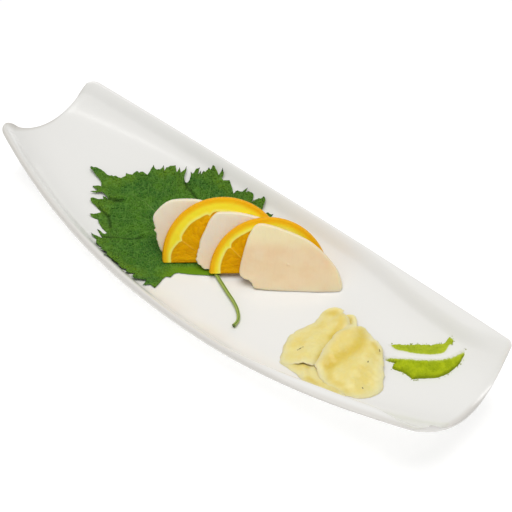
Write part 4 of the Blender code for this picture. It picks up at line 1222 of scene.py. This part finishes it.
def make_crumbs(material):
    """Crumbs of paste shed along the outer margins of the strokes."""
    chance = np.random.default_rng(501)
    spots = []
    for outer, _, _ in WASABI.values():
        line = even_line(curve(outer, np.linspace(0.0, len(outer) - 1.0, 200)), 0.5)
        away = np.stack([np.gradient(line[:, 1]), -np.gradient(line[:, 0])], axis=1)
        away /= np.linalg.norm(away, axis=1)[:, None]
        for index in chance.integers(2, len(line) - 2, CRUMB_COUNT // 2):
            x, y = line[index] + away[index] * chance.uniform(0.1, 1.1) ** 1.3
            size = chance.uniform(0.28, 0.75)
            height = float(resting_height(x, y)) + 0.3 * size
            spots.append((x, y, height, size, size * 0.8, size * 0.6, chance.uniform(0.0, 3.0)))
    grains("wasabi_crumbs", spots, material, "wasabi", 511)


# ---------------------------------------------------------------- stage

def area_light(name, place, target, size, power, colour=(1.0, 1.0, 1.0)):
    light = bpy.data.lights.new(name, 'AREA')
    light.shape = 'SQUARE'
    light.size = size
    light.energy = power
    light.color = colour
    lamp = bpy.data.objects.new(name, light)
    lamp.location = place
    lamp.rotation_euler = (Vector(target) - Vector(place)).to_track_quat('-Z', 'Y').to_euler()
    bpy.context.scene.collection.objects.link(lamp)


def make_stage():
    mesh = bpy.data.meshes.new("floor")
    work = bmesh.new()
    bmesh.ops.create_circle(work, cap_ends=True, segments=96, radius=4.0)
    work.to_mesh(mesh)
    work.free()
    floor = bpy.data.objects.new("floor", mesh)
    floor.location = (0.0, 0.0, cad_box[0][2] - 0.0004)
    bpy.context.scene.collection.objects.link(floor)
    paper = bpy.data.materials.new("floor_paper")
    paper.use_nodes = True
    shader = paper.node_tree.nodes["Principled BSDF"]
    shader.inputs["Base Color"].default_value = (0.93, 0.93, 0.93, 1.0)
    shader.inputs["Roughness"].default_value = 0.9
    shader.inputs["Specular IOR Level"].default_value = 0.0
    shader.inputs["Emission Color"].default_value = (1.0, 1.0, 1.0, 1.0)
    shader.inputs["Emission Strength"].default_value = 0.37
    mesh.materials.append(paper)
    world = bpy.data.worlds.new("studio")
    world.use_nodes = True
    world.node_tree.nodes["Background"].inputs["Color"].default_value = (1.0, 1.0, 1.0, 1.0)
    world.node_tree.nodes["Background"].inputs["Strength"].default_value = 0.38
    bpy.context.scene.world = world
    area_light("overhead_softbox", (0.03, -0.02, 0.6), (0.0, 0.0, 0.0), 0.5, 2.55, (1.0, 0.99, 0.975))
    area_light("front_fill", (0.5, -0.7, 0.7), (0.0, 0.0, 0.0), 0.8, 0.2)
    bpy.context.scene.view_settings.view_transform = 'Standard'


def make_camera():
    lens = bpy.data.cameras.new("camera")
    lens.lens = 68.4
    lens.sensor_width = 36.0
    lens.clip_start = 0.01
    lens.clip_end = 50.0
    camera = bpy.data.objects.new("camera", lens)
    camera.location = (0.31401, -0.29210, 0.42357)
    aim = Vector((0.0004, 0.0243, 0.0)) - camera.location
    camera.rotation_euler = aim.to_track_quat('-Z', 'Y').to_euler()
    bpy.context.scene.collection.objects.link(camera)
    bpy.context.scene.camera = camera


make_stage()
make_camera()
make_plate()
make_leaf()
make_stem()
make_slices()
pickled = ginger_material()
for ginger in GINGER_MARGINS:
    make_ginger(ginger, pickled)
make_flecks()
paste = wasabi_material()
for stroke in WASABI:
    make_wasabi(stroke, paste)
make_crumbs(crumb_material())
